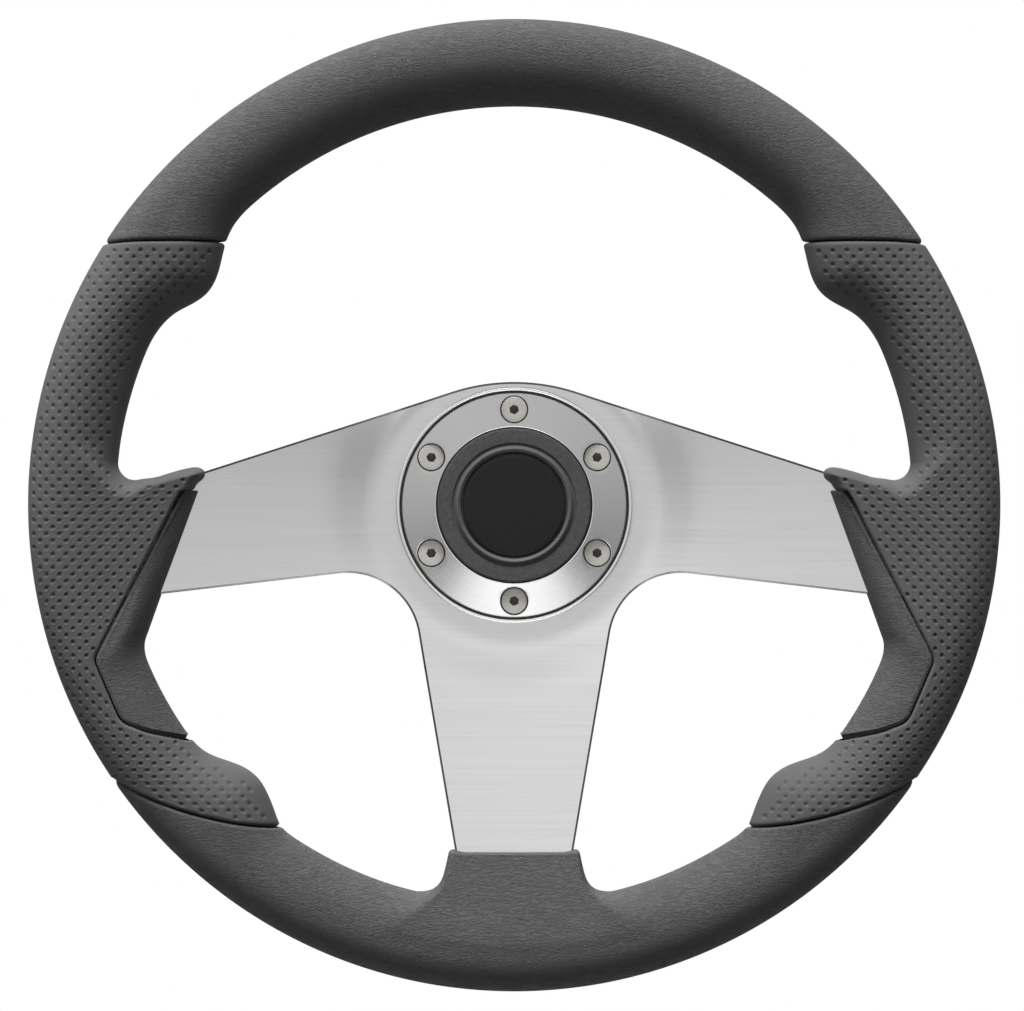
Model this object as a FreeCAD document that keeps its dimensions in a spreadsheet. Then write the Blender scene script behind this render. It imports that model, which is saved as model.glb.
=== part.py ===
import FreeCAD, Part
import Sketcher
import math
import os

# Boat steering wheel, 350 mm across.
#
# Everything is drawn as the helmsman sees it: x to the right, y up, z out of
# the hub's back face towards the viewer. The last step stands each piece up,
# so that the wheel's axis lies along -Y and +Z is up.

Vector = FreeCAD.Vector

doc = FreeCAD.newDocument("boat_steering_wheel")
sheet = doc.addObject("Spreadsheet::Sheet", "sizes")

SIZES = (
    # rim
    ("wheel_diameter", 350.0),
    ("rim_width", 31.0),
    ("rim_depth", 28.0),
    ("rim_lean", 2.8),
    ("rim_height", 75.0),
    ("upper_rest_rise", 9.5),
    ("upper_rest_angle", 35.2),
    ("lower_rest_rise", 9.2),
    ("lower_rest_angle", -47.0),
    ("seam_gap", 0.5),
    ("top_seam_outside", 32.65),
    ("top_seam_inside", 41.1),
    ("bottom_seam_outside", -34.4),
    ("bottom_seam_inside", -53.3),
    # the grip over the side arms
    ("horn_reach", 32.1),
    ("horn_cover", 3.0),
    ("horn_lean", 1.2),
    ("horn_depth", 13.4),
    ("horn_root_drop", 9.0),
    ("horn_root_round", 6.0),
    ("horn_tip_round", 2.6),
    ("web_foot_reach", 9.4),
    ("web_foot_drop", 18.8),
    ("web_slope", 12.5),
    ("web_edge_round", 2.0),
    ("insert_top_drop", 9.9),
    ("insert_top_reach", 23.8),
    ("insert_depth", 17.6),
    ("pad_cover", 2.7),
    ("pad_reach", 19.3),
    ("pad_flare", 3.9),
    ("pad_root_rise", 4.7),
    ("pad_root_round", 5.0),
    ("pad_corner_round", 2.4),
    ("pad_edge_round", 1.5),
    # spoke plate
    ("plate_thickness", 4.0),
    ("plate_face", 50.0),
    ("flat_radius", 52.0),
    ("wall_radius", 68.0),
    ("wall_rise", 7.1),
    ("tab_bend_inset", 29.0),
    ("tab_end_inset", 15.0),
    ("flat_bend", 18.0),
    ("wall_bend", 60.0),
    ("tab_bend", 20.0),
    ("peak_height", 49.1),
    ("peak_round", 73.4),
    ("arm_top_angle", 18.2),
    ("arm_low_angle", 6.45),
    ("foot_edge_angle", 9.95),
    ("crotch_across", 39.4),
    ("crotch_below", 22.1),
    ("crotch_round", 26.5),
    ("plate_chamfer", 0.7),
    # hub and its cover
    ("land_radius", 9.55),
    ("land_length", 5.0),
    ("taper_mouth_radius", 9.525),
    ("taper_run", 24.0),
    ("well_floor", 30.0),
    ("well_radius", 17.5),
    ("key_width", 4.76),
    ("key_depth", 2.4),
    ("hub_back_radius", 22.0),
    ("hub_neck_radius", 26.0),
    ("flange_edge", 6.0),
    ("flange_thickness", 8.0),
    ("spigot_radius", 24.0),
    ("spigot_rise", 3.0),
    ("shroud_wall", 2.0),
    ("shroud_waist_radius", 28.0),
    ("shroud_back", 2.5),
    ("fit_clearance", 0.2),
    # clamp ring and its screws
    ("ring_radius", 43.4),
    ("ring_seat_radius", 28.4),
    ("ring_step", 3.2),
    ("ring_outer_rise", 3.9),
    ("ring_inner_rise", 7.1),
    ("bead_width", 1.7),
    ("bead_rise", 3.3),
    ("groove_width", 0.7),
    ("groove_depth", 1.3),
    ("screw_circle", 70.0),
    ("screw_radius", 2.5),
    ("screw_length", 16.0),
    ("head_radius", 4.75),
    ("head_land", 0.3),
    ("head_rise", 4.1),
    ("socket_width", 3.0),
    ("socket_depth", 1.9),
    ("head_clearance", 0.3),
    ("thread_clearance", 0.05),
    # centre cap
    ("cap_rise", 7.3),
    ("cap_edge_round", 0.8),
    ("cap_bead_radius", 20.6),
    ("cap_bead_width", 2.6),
    ("cap_bead_rise", 0.9),
    ("cap_groove_width", 0.7),
    ("cap_groove_depth", 0.8),
    ("disc_thickness", 2.0),
    ("disc_gap", 0.7),
    ("disc_rise", 0.2),
    ("skirt_wall", 2.0),
    ("skirt_length", 10.0),
    ("o_ring_section", 1.4),
    ("o_ring_drop", 5.5),
    # ring inside the rim, and the rivets that hold the arms to it
    ("core_inset", 16.0),
    ("core_width", 18.0),
    ("core_thickness", 6.0),
    ("rivet_radius", 2.4),
    ("rivet_head_radius", 4.0),
    ("rivet_head_rise", 1.6),
    ("rivet_pitch", 16.0),
)

for row, (alias, value) in enumerate(SIZES, start=1):
    sheet.set("A%d" % row, alias)
    sheet.set("B%d" % row, repr(value))
    sheet.setAlias("B%d" % row, alias)
doc.recompute()


def size(alias):
    """A driving dimension, in millimetres or degrees."""
    return float(sheet.get(alias))


def polar(radius, angle):
    """The point at this radius and at this angle above the right-hand side."""
    turn = math.radians(angle)
    return Vector(radius * math.cos(turn), radius * math.sin(turn), 0)


# Sketches


def origin_plane(body, role):
    return [item for item in body.Origin.OriginFeatures if item.Role == role][0]


def new_sketch(body, name, role, level=None):
    """An empty sketch on one of the body's own planes, lifted to a level."""
    sketch = body.newObject("Sketcher::SketchObject", name)
    sketch.AttachmentSupport = [(origin_plane(body, role), "")]
    sketch.MapMode = "FlatFace"
    if level:
        sketch.setExpression("AttachmentOffset.Base.z", level)
    return sketch


def fix_point(sketch, geometry, end, across, up):
    """Hold a point at two expressions, measured from the sketch's origin."""
    for kind, words, axis in (("DistanceX", across, -2), ("DistanceY", up, -1)):
        if words == "0":
            sketch.addConstraint(Sketcher.Constraint("PointOnObject", geometry, end, axis))
            continue
        value = float(sketch.evalExpression(words))
        held = sketch.addConstraint(Sketcher.Constraint(kind, -1, 1, geometry, end, value))
        sketch.setExpression("Constraints[%d]" % held, words)


def draw_outline(sketch, corners, rounds=()):
    """A closed outline through the corners, each a pair of expressions.

    rounds gives the corners that are rounded, each with its radius.
    """
    points = []
    for across, up in corners:
        points.append(Vector(float(sketch.evalExpression(across)), float(sketch.evalExpression(up)), 0))
    count = len(points)
    first = sketch.GeometryCount
    for i in range(count):
        sketch.addGeometry(Part.LineSegment(points[i], points[(i + 1) % count]), False)
    for i in range(count):
        sketch.addConstraint(Sketcher.Constraint("Coincident", first + i, 2, first + (i + 1) % count, 1))
    for i, (across, up) in enumerate(corners):
        fix_point(sketch, first + i, 1, across, up)
    for corner, radius in rounds:
        made = sketch.GeometryCount
        sketch.fillet(first + corner, 1, float(sketch.evalExpression(radius)), True, True)
        arcs = [i for i in range(made, sketch.GeometryCount) if isinstance(sketch.Geometry[i], Part.ArcOfCircle)]
        held = sketch.addConstraint(Sketcher.Constraint("Radius", arcs[0], float(sketch.evalExpression(radius))))
        sketch.setExpression("Constraints[%d]" % held, radius)


def draw_circle(sketch, across, up, radius):
    middle = Vector(float(sketch.evalExpression(across)), float(sketch.evalExpression(up)), 0)
    value = float(sketch.evalExpression(radius))
    made = sketch.addGeometry(Part.Circle(middle, Vector(0, 0, 1), value), False)
    fix_point(sketch, made, 3, across, up)
    held = sketch.addConstraint(Sketcher.Constraint("Radius", made, value))
    sketch.setExpression("Constraints[%d]" % held, radius)


def draw_axis(sketch, across, length):
    """An upright construction line, for a turned shape beside the wheel's axis."""
    place = float(sketch.evalExpression(across))
    made = sketch.addGeometry(Part.LineSegment(Vector(place, 0, 0), Vector(place, length, 0)), True)
    sketch.addConstraint(Sketcher.Constraint("Vertical", made))
    fix_point(sketch, made, 1, across, "0")
    sketch.addConstraint(Sketcher.Constraint("DistanceY", made, 1, made, 2, length))


# Features


def new_body(label):
    body = doc.addObject("PartDesign::Body", label)
    body.Label = label
    return body


def turn(body, kind, name, sketch, axis="V_Axis"):
    """A revolution or a groove, once round."""
    feature = body.newObject("PartDesign::" + kind, name)
    feature.Profile = sketch
    feature.ReferenceAxis = (sketch, [axis])
    feature.Angle = 360
    doc.recompute()
    return feature


def cut_through(body, name, sketch):
    """A pocket that takes away everything in front of the sketch."""
    feature = body.newObject("PartDesign::Pocket", name)
    feature.Profile = sketch
    feature.Type = "ThroughAll"
    feature.Reversed = True
    doc.recompute()
    return feature


def repeat_round(body, name, features, count):
    """Copies of the features, spaced evenly round the wheel's axis."""
    pattern = body.newObject("PartDesign::PolarPattern", name)
    pattern.Originals = features
    pattern.Axis = (features[0].Profile[0], ["N_Axis"])
    pattern.Angle = 360
    pattern.Occurrences = count
    body.Tip = pattern
    doc.recompute()
    return pattern


SCREWS = 6
SCREW_PLACE = "sizes.screw_circle / 2"
FLANGE_RADIUS = "(sizes.screw_circle / 2 + sizes.flange_edge)"
CORE_PLACE = "(sizes.wheel_diameter / 2 - sizes.core_inset)"
TAB_PLACE = "(sizes.wheel_diameter / 2 - sizes.tab_bend_inset)"
ARM_END = "(sizes.wheel_diameter / 2 - sizes.tab_end_inset)"


def arm_top(across):
    """How high the right arm's upper edge lies there."""
    return "(sizes.peak_height - %s * tan(sizes.arm_top_angle))" % across


def arm_low(across):
    """How high the right arm's lower edge lies there."""
    return "(-sizes.crotch_below - (%s - sizes.crotch_across) * tan(sizes.arm_low_angle))" % across


def foot_half(below):
    """Half the foot's width so far below the wheel's axis."""
    return "(sizes.crotch_across - (%s - sizes.crotch_below) * tan(sizes.foot_edge_angle))" % below


def worked_out(words):
    """The value of an expression in the sheet's sizes."""
    return float(sheet.evalExpression(words.replace("sizes.", "")))


def make_hub():
    """Cast hub: tapered bore with a straight land and a keyway, nut well, flange and plate spigot."""
    body = new_body("hub")
    taper_end = "sizes.taper_mouth_radius - (sizes.well_floor - sizes.land_length) / sizes.taper_run"
    profile = new_sketch(body, "hub_profile", "XZ_Plane")
    flange_back = "sizes.plate_face - sizes.plate_thickness - sizes.flange_thickness"
    flange_front = "sizes.plate_face - sizes.plate_thickness"
    spigot_front = "sizes.plate_face + sizes.spigot_rise"
    draw_outline(profile, [
        ("sizes.land_radius", "0"),
        ("sizes.hub_back_radius", "0"),
        ("sizes.hub_back_radius", "sizes.shroud_back + sizes.shroud_wall + 1"),
        ("sizes.hub_neck_radius - 2", "sizes.shroud_back + sizes.shroud_wall + 3"),
        ("sizes.hub_neck_radius", flange_back + " - 3"),
        (FLANGE_RADIUS, flange_back),
        (FLANGE_RADIUS, flange_front),
        ("sizes.spigot_radius", flange_front),
        ("sizes.spigot_radius", spigot_front),
        ("sizes.well_radius", spigot_front),
        ("sizes.well_radius", "sizes.well_floor"),
        (taper_end, "sizes.well_floor"),
        ("sizes.taper_mouth_radius", "sizes.land_length"),
        ("sizes.land_radius", "sizes.land_length"),
    ])
    turn(body, "Revolution", "hub_turned", profile)
    keyway = new_sketch(body, "keyway_outline", "XY_Plane")
    draw_outline(keyway, [
        ("-sizes.key_width / 2", "0"),
        ("sizes.key_width / 2", "0"),
        ("sizes.key_width / 2", "sizes.taper_mouth_radius + sizes.key_depth"),
        ("-sizes.key_width / 2", "sizes.taper_mouth_radius + sizes.key_depth"),
    ])
    slot = body.newObject("PartDesign::Pocket", "keyway")
    slot.Profile = keyway
    slot.Reversed = True
    slot.setExpression("Length", "sizes.well_floor")
    doc.recompute()
    hole = new_sketch(body, "thread_outline", "XY_Plane")
    draw_circle(hole, "0", SCREW_PLACE, "sizes.screw_radius + sizes.thread_clearance")
    thread = cut_through(body, "thread", hole)
    repeat_round(body, "threads", [thread], SCREWS)
    return body


def make_shroud():
    """Moulded cover round the hub, held between its back shoulder and the plate."""
    body = new_body("hub_shroud")
    profile = new_sketch(body, "shroud_profile", "XZ_Plane")
    inner = FLANGE_RADIUS + " + sizes.fit_clearance"
    front = "sizes.plate_face - sizes.plate_thickness - sizes.fit_clearance"
    skirt = "sizes.plate_face - sizes.plate_thickness - sizes.flange_thickness - 2"
    draw_outline(profile, [
        ("sizes.hub_back_radius + sizes.fit_clearance", "sizes.shroud_back"),
        ("sizes.shroud_waist_radius", "sizes.shroud_back"),
        ("sizes.shroud_waist_radius + sizes.shroud_wall", "sizes.shroud_back + sizes.shroud_wall"),
        (inner + " + sizes.shroud_wall", skirt),
        (inner + " + sizes.shroud_wall", front),
        (inner, front),
        (inner, skirt),
        ("sizes.shroud_waist_radius", "sizes.shroud_back + 2 * sizes.shroud_wall"),
        ("sizes.hub_back_radius + sizes.fit_clearance", "sizes.shroud_back + sizes.shroud_wall"),
    ], [(3, "4"), (6, "2")])
    turn(body, "Revolution", "shroud_turned", profile)
    return body


def draw_dish(sketch, drop, far):
    """The dished plate's face: flat round the hub, then up to the rim's middle."""
    tab_front = "sizes.rim_height + sizes.plate_thickness / 2" + drop
    face = "sizes.plate_face" + drop
    draw_outline(sketch, [
        ("0", face),
        ("sizes.flat_radius", face),
        ("sizes.wall_radius", face + " + sizes.wall_rise"),
        (TAB_PLACE, tab_front),
        ("sizes.wheel_diameter", tab_front),
        ("sizes.wheel_diameter", far),
        ("0", far),
    ], [(1, "sizes.flat_bend"), (2, "sizes.wall_bend"), (3, "sizes.tab_bend")])


def make_plate():
    """One-piece spoke plate: three arms, dished, with tabs that run into the rim."""
    body = new_body("spoke_plate")
    outline = new_sketch(body, "plate_outline", "XY_Plane")
    draw_outline(outline, [
        ("0", "sizes.peak_height"),
        (ARM_END, arm_top(ARM_END)),
        (ARM_END, arm_low(ARM_END)),
        ("sizes.crotch_across", "-sizes.crotch_below"),
        (foot_half(ARM_END), "-" + ARM_END),
        ("-" + foot_half(ARM_END), "-" + ARM_END),
        ("-sizes.crotch_across", "-sizes.crotch_below"),
        ("-" + ARM_END, arm_low(ARM_END)),
        ("-" + ARM_END, arm_top(ARM_END)),
    ], [(0, "sizes.peak_round"), (3, "sizes.crotch_round"), (6, "sizes.crotch_round")])
    blank = body.newObject("PartDesign::Pad", "plate_blank")
    blank.Profile = outline
    blank.setExpression("Length", "sizes.rim_height + sizes.rim_depth")
    doc.recompute()
    front = new_sketch(body, "front_dish", "XZ_Plane")
    draw_dish(front, "", "sizes.rim_height + 2 * sizes.rim_depth")
    turn(body, "Groove", "front_pressed", front)
    back = new_sketch(body, "back_dish", "XZ_Plane")
    draw_dish(back, " - sizes.plate_thickness", "-1")
    turn(body, "Groove", "back_pressed", back)
    holes = new_sketch(body, "plate_holes", "XY_Plane")
    draw_circle(holes, "0", "0", "sizes.spigot_radius + sizes.fit_clearance / 2")
    for across, up in rivet_places():
        draw_circle(holes, across, up, "sizes.rivet_radius + sizes.thread_clearance")
    cut_through(body, "plate_pierced", holes)
    hole = new_sketch(body, "screw_way", "XY_Plane")
    draw_circle(hole, "0", SCREW_PLACE, "sizes.screw_radius + sizes.head_clearance")
    way = cut_through(body, "screw_pierced", hole)
    repeat_round(body, "screw_ways", [way], SCREWS)
    sharp = body.Tip
    chamfer = body.newObject("PartDesign::Chamfer", "plate_edges")
    chamfer.Base = (sharp, front_edges(sharp.Shape))
    chamfer.setExpression("Size", "sizes.plate_chamfer")
    doc.recompute()
    return body


def front_edges(shape):
    """The names of the plate's front edges that show between hub and grips."""
    names = []
    for number, edge in enumerate(shape.Edges, start=1):
        middle = edge.valueAt((edge.FirstParameter + edge.LastParameter) / 2)
        radius = math.hypot(middle.x, middle.y)
        if radius < size("spigot_radius") + 15 or radius > worked_out(TAB_PLACE) + 2:
            continue
        if abs(radius - size("screw_circle") / 2) < 5:
            continue
        sides = [face for face in shape.Faces if any(edge.isSame(one) for one in face.Edges)]
        leans = sorted(face.normalAt(*face.Surface.parameter(middle)).z for face in sides)
        if abs(leans[0]) < 0.05 and leans[1] > 0.5:
            names.append("Edge%d" % number)
    return names


def rivet_places():
    """Two rivets in each tab."""
    half = "sizes.rivet_pitch / 2"
    middle = "(%s + %s) / 2" % (arm_top(CORE_PLACE), arm_low(CORE_PLACE))
    places = []
    for side in ("", "-"):
        for sign in ("+", "-"):
            places.append((side + CORE_PLACE, "%s %s %s" % (middle, sign, half)))
    places.append((half, "-" + CORE_PLACE))
    places.append(("-" + half, "-" + CORE_PLACE))
    return places


def make_clamp_ring():
    """Turned clamp ring: a cone between the cap's seat and a rounded outer bead."""
    body = new_body("clamp_ring")
    face = "sizes.plate_face"
    bead_in = "sizes.ring_radius - sizes.bead_width"
    cone_out = "sizes.ring_radius - sizes.bead_width - sizes.groove_width"
    bead_top = face + " + sizes.bead_rise"
    groove_floor = face + " + sizes.bead_rise - sizes.groove_depth"
    profile = new_sketch(body, "ring_profile", "XZ_Plane")
    draw_outline(profile, [
        ("sizes.spigot_radius + sizes.fit_clearance", face),
        ("sizes.ring_radius", face),
        ("sizes.ring_radius", bead_top),
        (bead_in, bead_top),
        (bead_in, groove_floor),
        (cone_out, groove_floor),
        (cone_out, face + " + sizes.ring_outer_rise"),
        ("sizes.ring_seat_radius", face + " + sizes.ring_inner_rise"),
        ("sizes.ring_seat_radius", face + " + sizes.ring_step"),
        ("sizes.spigot_radius + sizes.fit_clearance", face + " + sizes.ring_step"),
    ], [(2, "sizes.bead_width * 0.48"), (3, "sizes.bead_width * 0.4"), (6, "0.5"), (7, "0.5")])
    turn(body, "Revolution", "ring_turned", profile)
    sink = new_sketch(body, "countersink_profile", "YZ_Plane")
    draw_axis(sink, SCREW_PLACE, 10)
    head = "sizes.plate_face + sizes.head_rise"
    wide = "%s + sizes.head_radius + sizes.head_clearance" % SCREW_PLACE
    narrow = "%s + sizes.screw_radius + sizes.head_clearance" % SCREW_PLACE
    draw_outline(sink, [
        (SCREW_PLACE, face + " - 1"),
        (narrow, face + " - 1"),
        (narrow, "%s - sizes.head_land - (sizes.head_radius - sizes.screw_radius)" % head),
        (wide, head + " - sizes.head_land"),
        (wide, face + " + 12"),
        (SCREW_PLACE, face + " + 12"),
    ])
    countersink = turn(body, "Groove", "countersink", sink, "Axis0")
    pattern = body.newObject("PartDesign::PolarPattern", "countersinks")
    pattern.Originals = [countersink]
    pattern.Axis = (profile, ["V_Axis"])
    pattern.Angle = 360
    pattern.Occurrences = SCREWS
    body.Tip = pattern
    doc.recompute()
    return body


def make_screws():
    """Six countersunk screws with hexagon sockets, one solid each."""
    body = new_body("hub_screws")
    body.AllowCompound = True
    top = "sizes.plate_face + sizes.head_rise"
    profile = new_sketch(body, "screw_profile", "YZ_Plane")
    draw_axis(profile, SCREW_PLACE, 10)
    rim = "%s + sizes.head_radius" % SCREW_PLACE
    shank = "%s + sizes.screw_radius" % SCREW_PLACE
    draw_outline(profile, [
        (SCREW_PLACE, top),
        (rim, top),
        (rim, top + " - sizes.head_land"),
        (shank, top + " - sizes.head_land - (sizes.head_radius - sizes.screw_radius)"),
        (shank, top + " - sizes.screw_length"),
        (SCREW_PLACE, top + " - sizes.screw_length"),
    ])
    turned = turn(body, "Revolution", "screw_turned", profile, "Axis0")
    socket = new_sketch(body, "socket_outline", "XY_Plane", top)
    corners = []
    for corner in range(6):
        reach = "sizes.socket_width / sqrt(3)"
        across = "%s * cos(%d)" % (reach, 60 * corner + 30)
        up = "%s + %s * sin(%d)" % (SCREW_PLACE, reach, 60 * corner + 30)
        corners.append((across if corner not in (1, 4) else "0", up))
    draw_outline(socket, corners)
    hexagon = body.newObject("PartDesign::Pocket", "socket")
    hexagon.Profile = socket
    hexagon.setExpression("Length", "sizes.socket_depth")
    doc.recompute()
    pattern = body.newObject("PartDesign::PolarPattern", "screws_round")
    pattern.Originals = [turned, hexagon]
    pattern.Axis = (socket, ["N_Axis"])
    pattern.Angle = 360
    pattern.Occurrences = SCREWS
    body.Tip = pattern
    doc.recompute()
    return body


def make_cap():
    """Moulded cap: flat bezel with a raised bead, and a skirt in the nut well."""
    body = new_body("cap_bezel")
    face = "sizes.plate_face + sizes.cap_rise"
    seat = "sizes.plate_face + sizes.ring_step + sizes.fit_clearance / 2"
    skirt_out = "sizes.well_radius - sizes.fit_clearance"
    skirt_in = skirt_out + " - sizes.skirt_wall"
    bead_out = "sizes.cap_bead_radius + sizes.cap_bead_width / 2"
    bead_in = "sizes.cap_bead_radius - sizes.cap_bead_width / 2"
    groove_low = seat + " - sizes.o_ring_drop - sizes.o_ring_section"
    groove_high = seat + " - sizes.o_ring_drop"
    groove_floor = "sizes.well_radius - sizes.o_ring_section"
    profile = new_sketch(body, "cap_profile", "XZ_Plane")
    draw_outline(profile, [
        (skirt_in, seat + " - sizes.skirt_length"),
        (skirt_out, seat + " - sizes.skirt_length"),
        (skirt_out, groove_low),
        (groove_floor, groove_low),
        (groove_floor, groove_high),
        (skirt_out, groove_high),
        (skirt_out, seat),
        ("sizes.ring_seat_radius - sizes.fit_clearance", seat),
        ("sizes.ring_seat_radius - sizes.fit_clearance", face),
        (bead_out + " + sizes.cap_groove_width", face),
        (bead_out + " + sizes.cap_groove_width", face + " - sizes.cap_groove_depth"),
        (bead_out, face + " - sizes.cap_groove_depth"),
        (bead_out, face + " + sizes.cap_bead_rise"),
        (bead_in, face + " + sizes.cap_bead_rise"),
        (bead_in, face + " + sizes.disc_rise - sizes.disc_thickness"),
        ("0", face + " + sizes.disc_rise - sizes.disc_thickness"),
        ("0", seat),
        (skirt_in, seat),
    ], [(8, "sizes.cap_edge_round"), (12, "sizes.cap_bead_width * 0.47"), (13, "sizes.cap_bead_width * 0.47")])
    turn(body, "Revolution", "cap_turned", profile)
    return body


def make_disc():
    """Gloss disc let into the cap."""
    body = new_body("cap_disc")
    profile = new_sketch(body, "disc_profile", "XZ_Plane")
    edge = "sizes.cap_bead_radius - sizes.cap_bead_width / 2 - sizes.disc_gap"
    top = "sizes.plate_face + sizes.cap_rise + sizes.disc_rise"
    draw_outline(profile, [
        ("0", top + " - sizes.disc_thickness"),
        (edge, top + " - sizes.disc_thickness"),
        (edge, top),
        ("0", top),
    ], [(2, "0.4")])
    turn(body, "Revolution", "disc_turned", profile)
    return body


def make_o_ring():
    """Rubber ring that holds the cap's skirt in the nut well."""
    ring = doc.addObject("Part::Torus", "cap_o_ring")
    ring.Label = "cap_o_ring"
    ring.setExpression("Radius1", "sizes.well_radius - sizes.o_ring_section / 2")
    ring.setExpression("Radius2", "sizes.o_ring_section / 2")
    doc.recompute()
    level = size("plate_face") + size("ring_step") + size("fit_clearance") / 2
    level -= size("o_ring_drop") + size("o_ring_section") / 2
    return ring, level


def make_core():
    """Flat metal ring inside the rim, behind the arms' tabs."""
    body = new_body("rim_core")
    profile = new_sketch(body, "core_profile", "XZ_Plane")
    top = "sizes.rim_height - sizes.plate_thickness / 2"
    draw_outline(profile, [
        (CORE_PLACE + " - sizes.core_width / 2", top + " - sizes.core_thickness"),
        (CORE_PLACE + " + sizes.core_width / 2", top + " - sizes.core_thickness"),
        (CORE_PLACE + " + sizes.core_width / 2", top),
        (CORE_PLACE + " - sizes.core_width / 2", top),
    ])
    turn(body, "Revolution", "core_turned", profile)
    holes = new_sketch(body, "core_holes", "XY_Plane")
    for across, up in rivet_places():
        draw_circle(holes, across, up, "sizes.rivet_radius + sizes.thread_clearance")
    cut_through(body, "core_pierced", holes)
    return body


def make_rivets():
    """Six rivets through the tabs and the core ring."""
    body = new_body("core_rivets")
    body.AllowCompound = True
    front = "sizes.rim_height + sizes.plate_thickness / 2"
    back = "sizes.rim_height - sizes.plate_thickness / 2 - sizes.core_thickness"
    layers = (
        ("shank", "sizes.rivet_radius", back, "sizes.plate_thickness + sizes.core_thickness"),
        ("front_head", "sizes.rivet_head_radius", front, "sizes.rivet_head_rise"),
        ("back_head", "sizes.rivet_head_radius", back + " - sizes.rivet_head_rise", "sizes.rivet_head_rise"),
    )
    for name, radius, level, length in layers:
        sketch = new_sketch(body, "rivet_" + name, "XY_Plane", level)
        for across, up in rivet_places():
            draw_circle(sketch, across, up, radius)
        pad = body.newObject("PartDesign::Pad", "rivet_" + name + "s")
        pad.Profile = sketch
        pad.setExpression("Length", length)
        doc.recompute()
    return body


# The grips: an oval section carried round the rim, deeper at the thumb rests

# Each thumb rest's own shape: degrees from its highest place, and the share of its rise
UPPER_REST = (
    (12.5, 0.0), (8.9, 0.15), (6.1, 0.48), (3.3, 0.83), (0.0, 1.0),
    (-2.3, 0.82), (-5.0, 0.44), (-7.2, 0.19), (-9.2, 0.06), (-12.3, 0.0),
)
LOWER_REST = (
    (11.5, 0.0), (8.8, 0.13), (5.6, 0.53), (2.0, 0.97), (-0.3, 0.99),
    (-2.0, 0.86), (-3.5, 0.67), (-4.8, 0.46), (-6.0, 0.22), (-8.0, 0.0),
)
PLAIN_STEP = 7.0


def rim_stations(start, stop):
    """Angles down the right-hand side, each with how far the rim is deepened."""
    stations = []
    rests = (
        (size("upper_rest_angle"), size("upper_rest_rise"), UPPER_REST),
        (size("lower_rest_angle"), size("lower_rest_rise"), LOWER_REST),
    )
    angle = start
    for middle, rise, shape in rests:
        first = middle + shape[0][0]
        plain = max(1, math.ceil((angle - first) / PLAIN_STEP))
        for step in range(plain):
            stations.append((angle + (first - angle) * step / plain, 0.0))
        stations += [(middle + turned, rise * share) for turned, share in shape]
        angle = middle + shape[-1][0]
        stations.pop()
    plain = max(1, math.ceil((angle - stop) / PLAIN_STEP))
    for step in range(plain + 1):
        stations.append((angle + (stop - angle) * step / plain, 0.0))
    return stations


# A full turn of the section's oval as four joined quarters
TURN_CORNERS = ((1, 0), (1, 1), (0, 1), (-1, 1), (-1, 0), (-1, -1), (0, -1), (1, -1), (1, 0))


def rim_section(angle, deepened):
    """The control points of the leaning oval at one place on the rim."""
    outer = size("wheel_diameter") / 2
    inner = outer - size("rim_width") - deepened
    lean = size("rim_lean")
    half_depth = size("rim_depth") / 2
    half_width = math.sqrt(((outer - inner) / 2) ** 2 - lean ** 2)
    points = []
    for along, over in TURN_CORNERS:
        radius = (outer + inner) / 2 + half_width * along + lean * over
        points.append(polar(radius, angle) + Vector(0, 0, size("rim_height") + half_depth * over))
    return points


def rim_solid(stations):
    """The rim between the first and the last station, smooth through every one."""
    angles = [angle for angle, deepened in stations]
    sections = [rim_section(angle, deepened) for angle, deepened in stations]
    rows = []
    for points in zip(*sections):
        row = Part.BSplineCurve()
        row.interpolate(Points=list(points), Parameters=[angles[0] - angle for angle in angles])
        rows.append(row)
    skin = Part.BSplineSurface()
    skin.buildFromPolesMultsKnots(
        [row.getPoles() for row in rows],
        [3, 2, 2, 2, 3], rows[0].getMultiplicities(),
        [0, 1, 2, 3, 4], rows[0].getKnots(),
        False, False, 2, 3,
        [[1.0 if i % 2 == 0 else math.sqrt(0.5)] * rows[0].NbPoles for i in range(len(rows))])
    tube = skin.toShape()
    ends = []
    for v in (rows[0].FirstParameter, rows[0].LastParameter):
        ends.append(Part.Face(Part.Wire([skin.vIso(v).toShape()])))
    shell = Part.Shell([tube] + ends)
    shell.sewShape()
    return Part.Solid(shell)


def seam_points(outside, inside):
    """A seam crosses the rim on a slant: its angle changes evenly with the radius."""
    outer = size("wheel_diameter") / 2
    points = []
    for radius in (outer + 12, outer, outer - size("rim_width") / 2, outer - size("rim_width"),
                   outer - size("rim_width") - 18):
        share = (outer - radius) / size("rim_width")
        points.append(polar(radius, outside + (inside - outside) * share))
    return points


def smooth_edge(points):
    curve = Part.BSplineCurve()
    curve.interpolate(Points=points)
    return curve.toShape()


def mirrored(point):
    return Vector(-point.x, point.y, point.z)


def region(points, up, shift):
    """The space beyond the pair of seams, above them or below them."""
    moved = [point + Vector(0, shift, 0) for point in points]
    far = size("wheel_diameter") * up
    right = smooth_edge(moved)
    left = smooth_edge([mirrored(point) for point in moved])
    corner = Vector(abs(far), far, 0)
    joins = [
        Part.LineSegment(moved[0], corner).toShape(),
        Part.LineSegment(corner, mirrored(corner)).toShape(),
        Part.LineSegment(mirrored(corner), mirrored(moved[0])).toShape(),
        Part.LineSegment(moved[-1], mirrored(moved[-1])).toShape(),
    ]
    face = Part.Face(Part.Wire(Part.__sortEdges__([right, left] + joins)))
    return upright(face)


def upright(face):
    """The face carried through the whole depth of the rim."""
    depth = 3 * size("rim_depth")
    face.translate(Vector(0, 0, size("rim_height") - depth / 2))
    return face.extrude(Vector(0, 0, depth))


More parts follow.
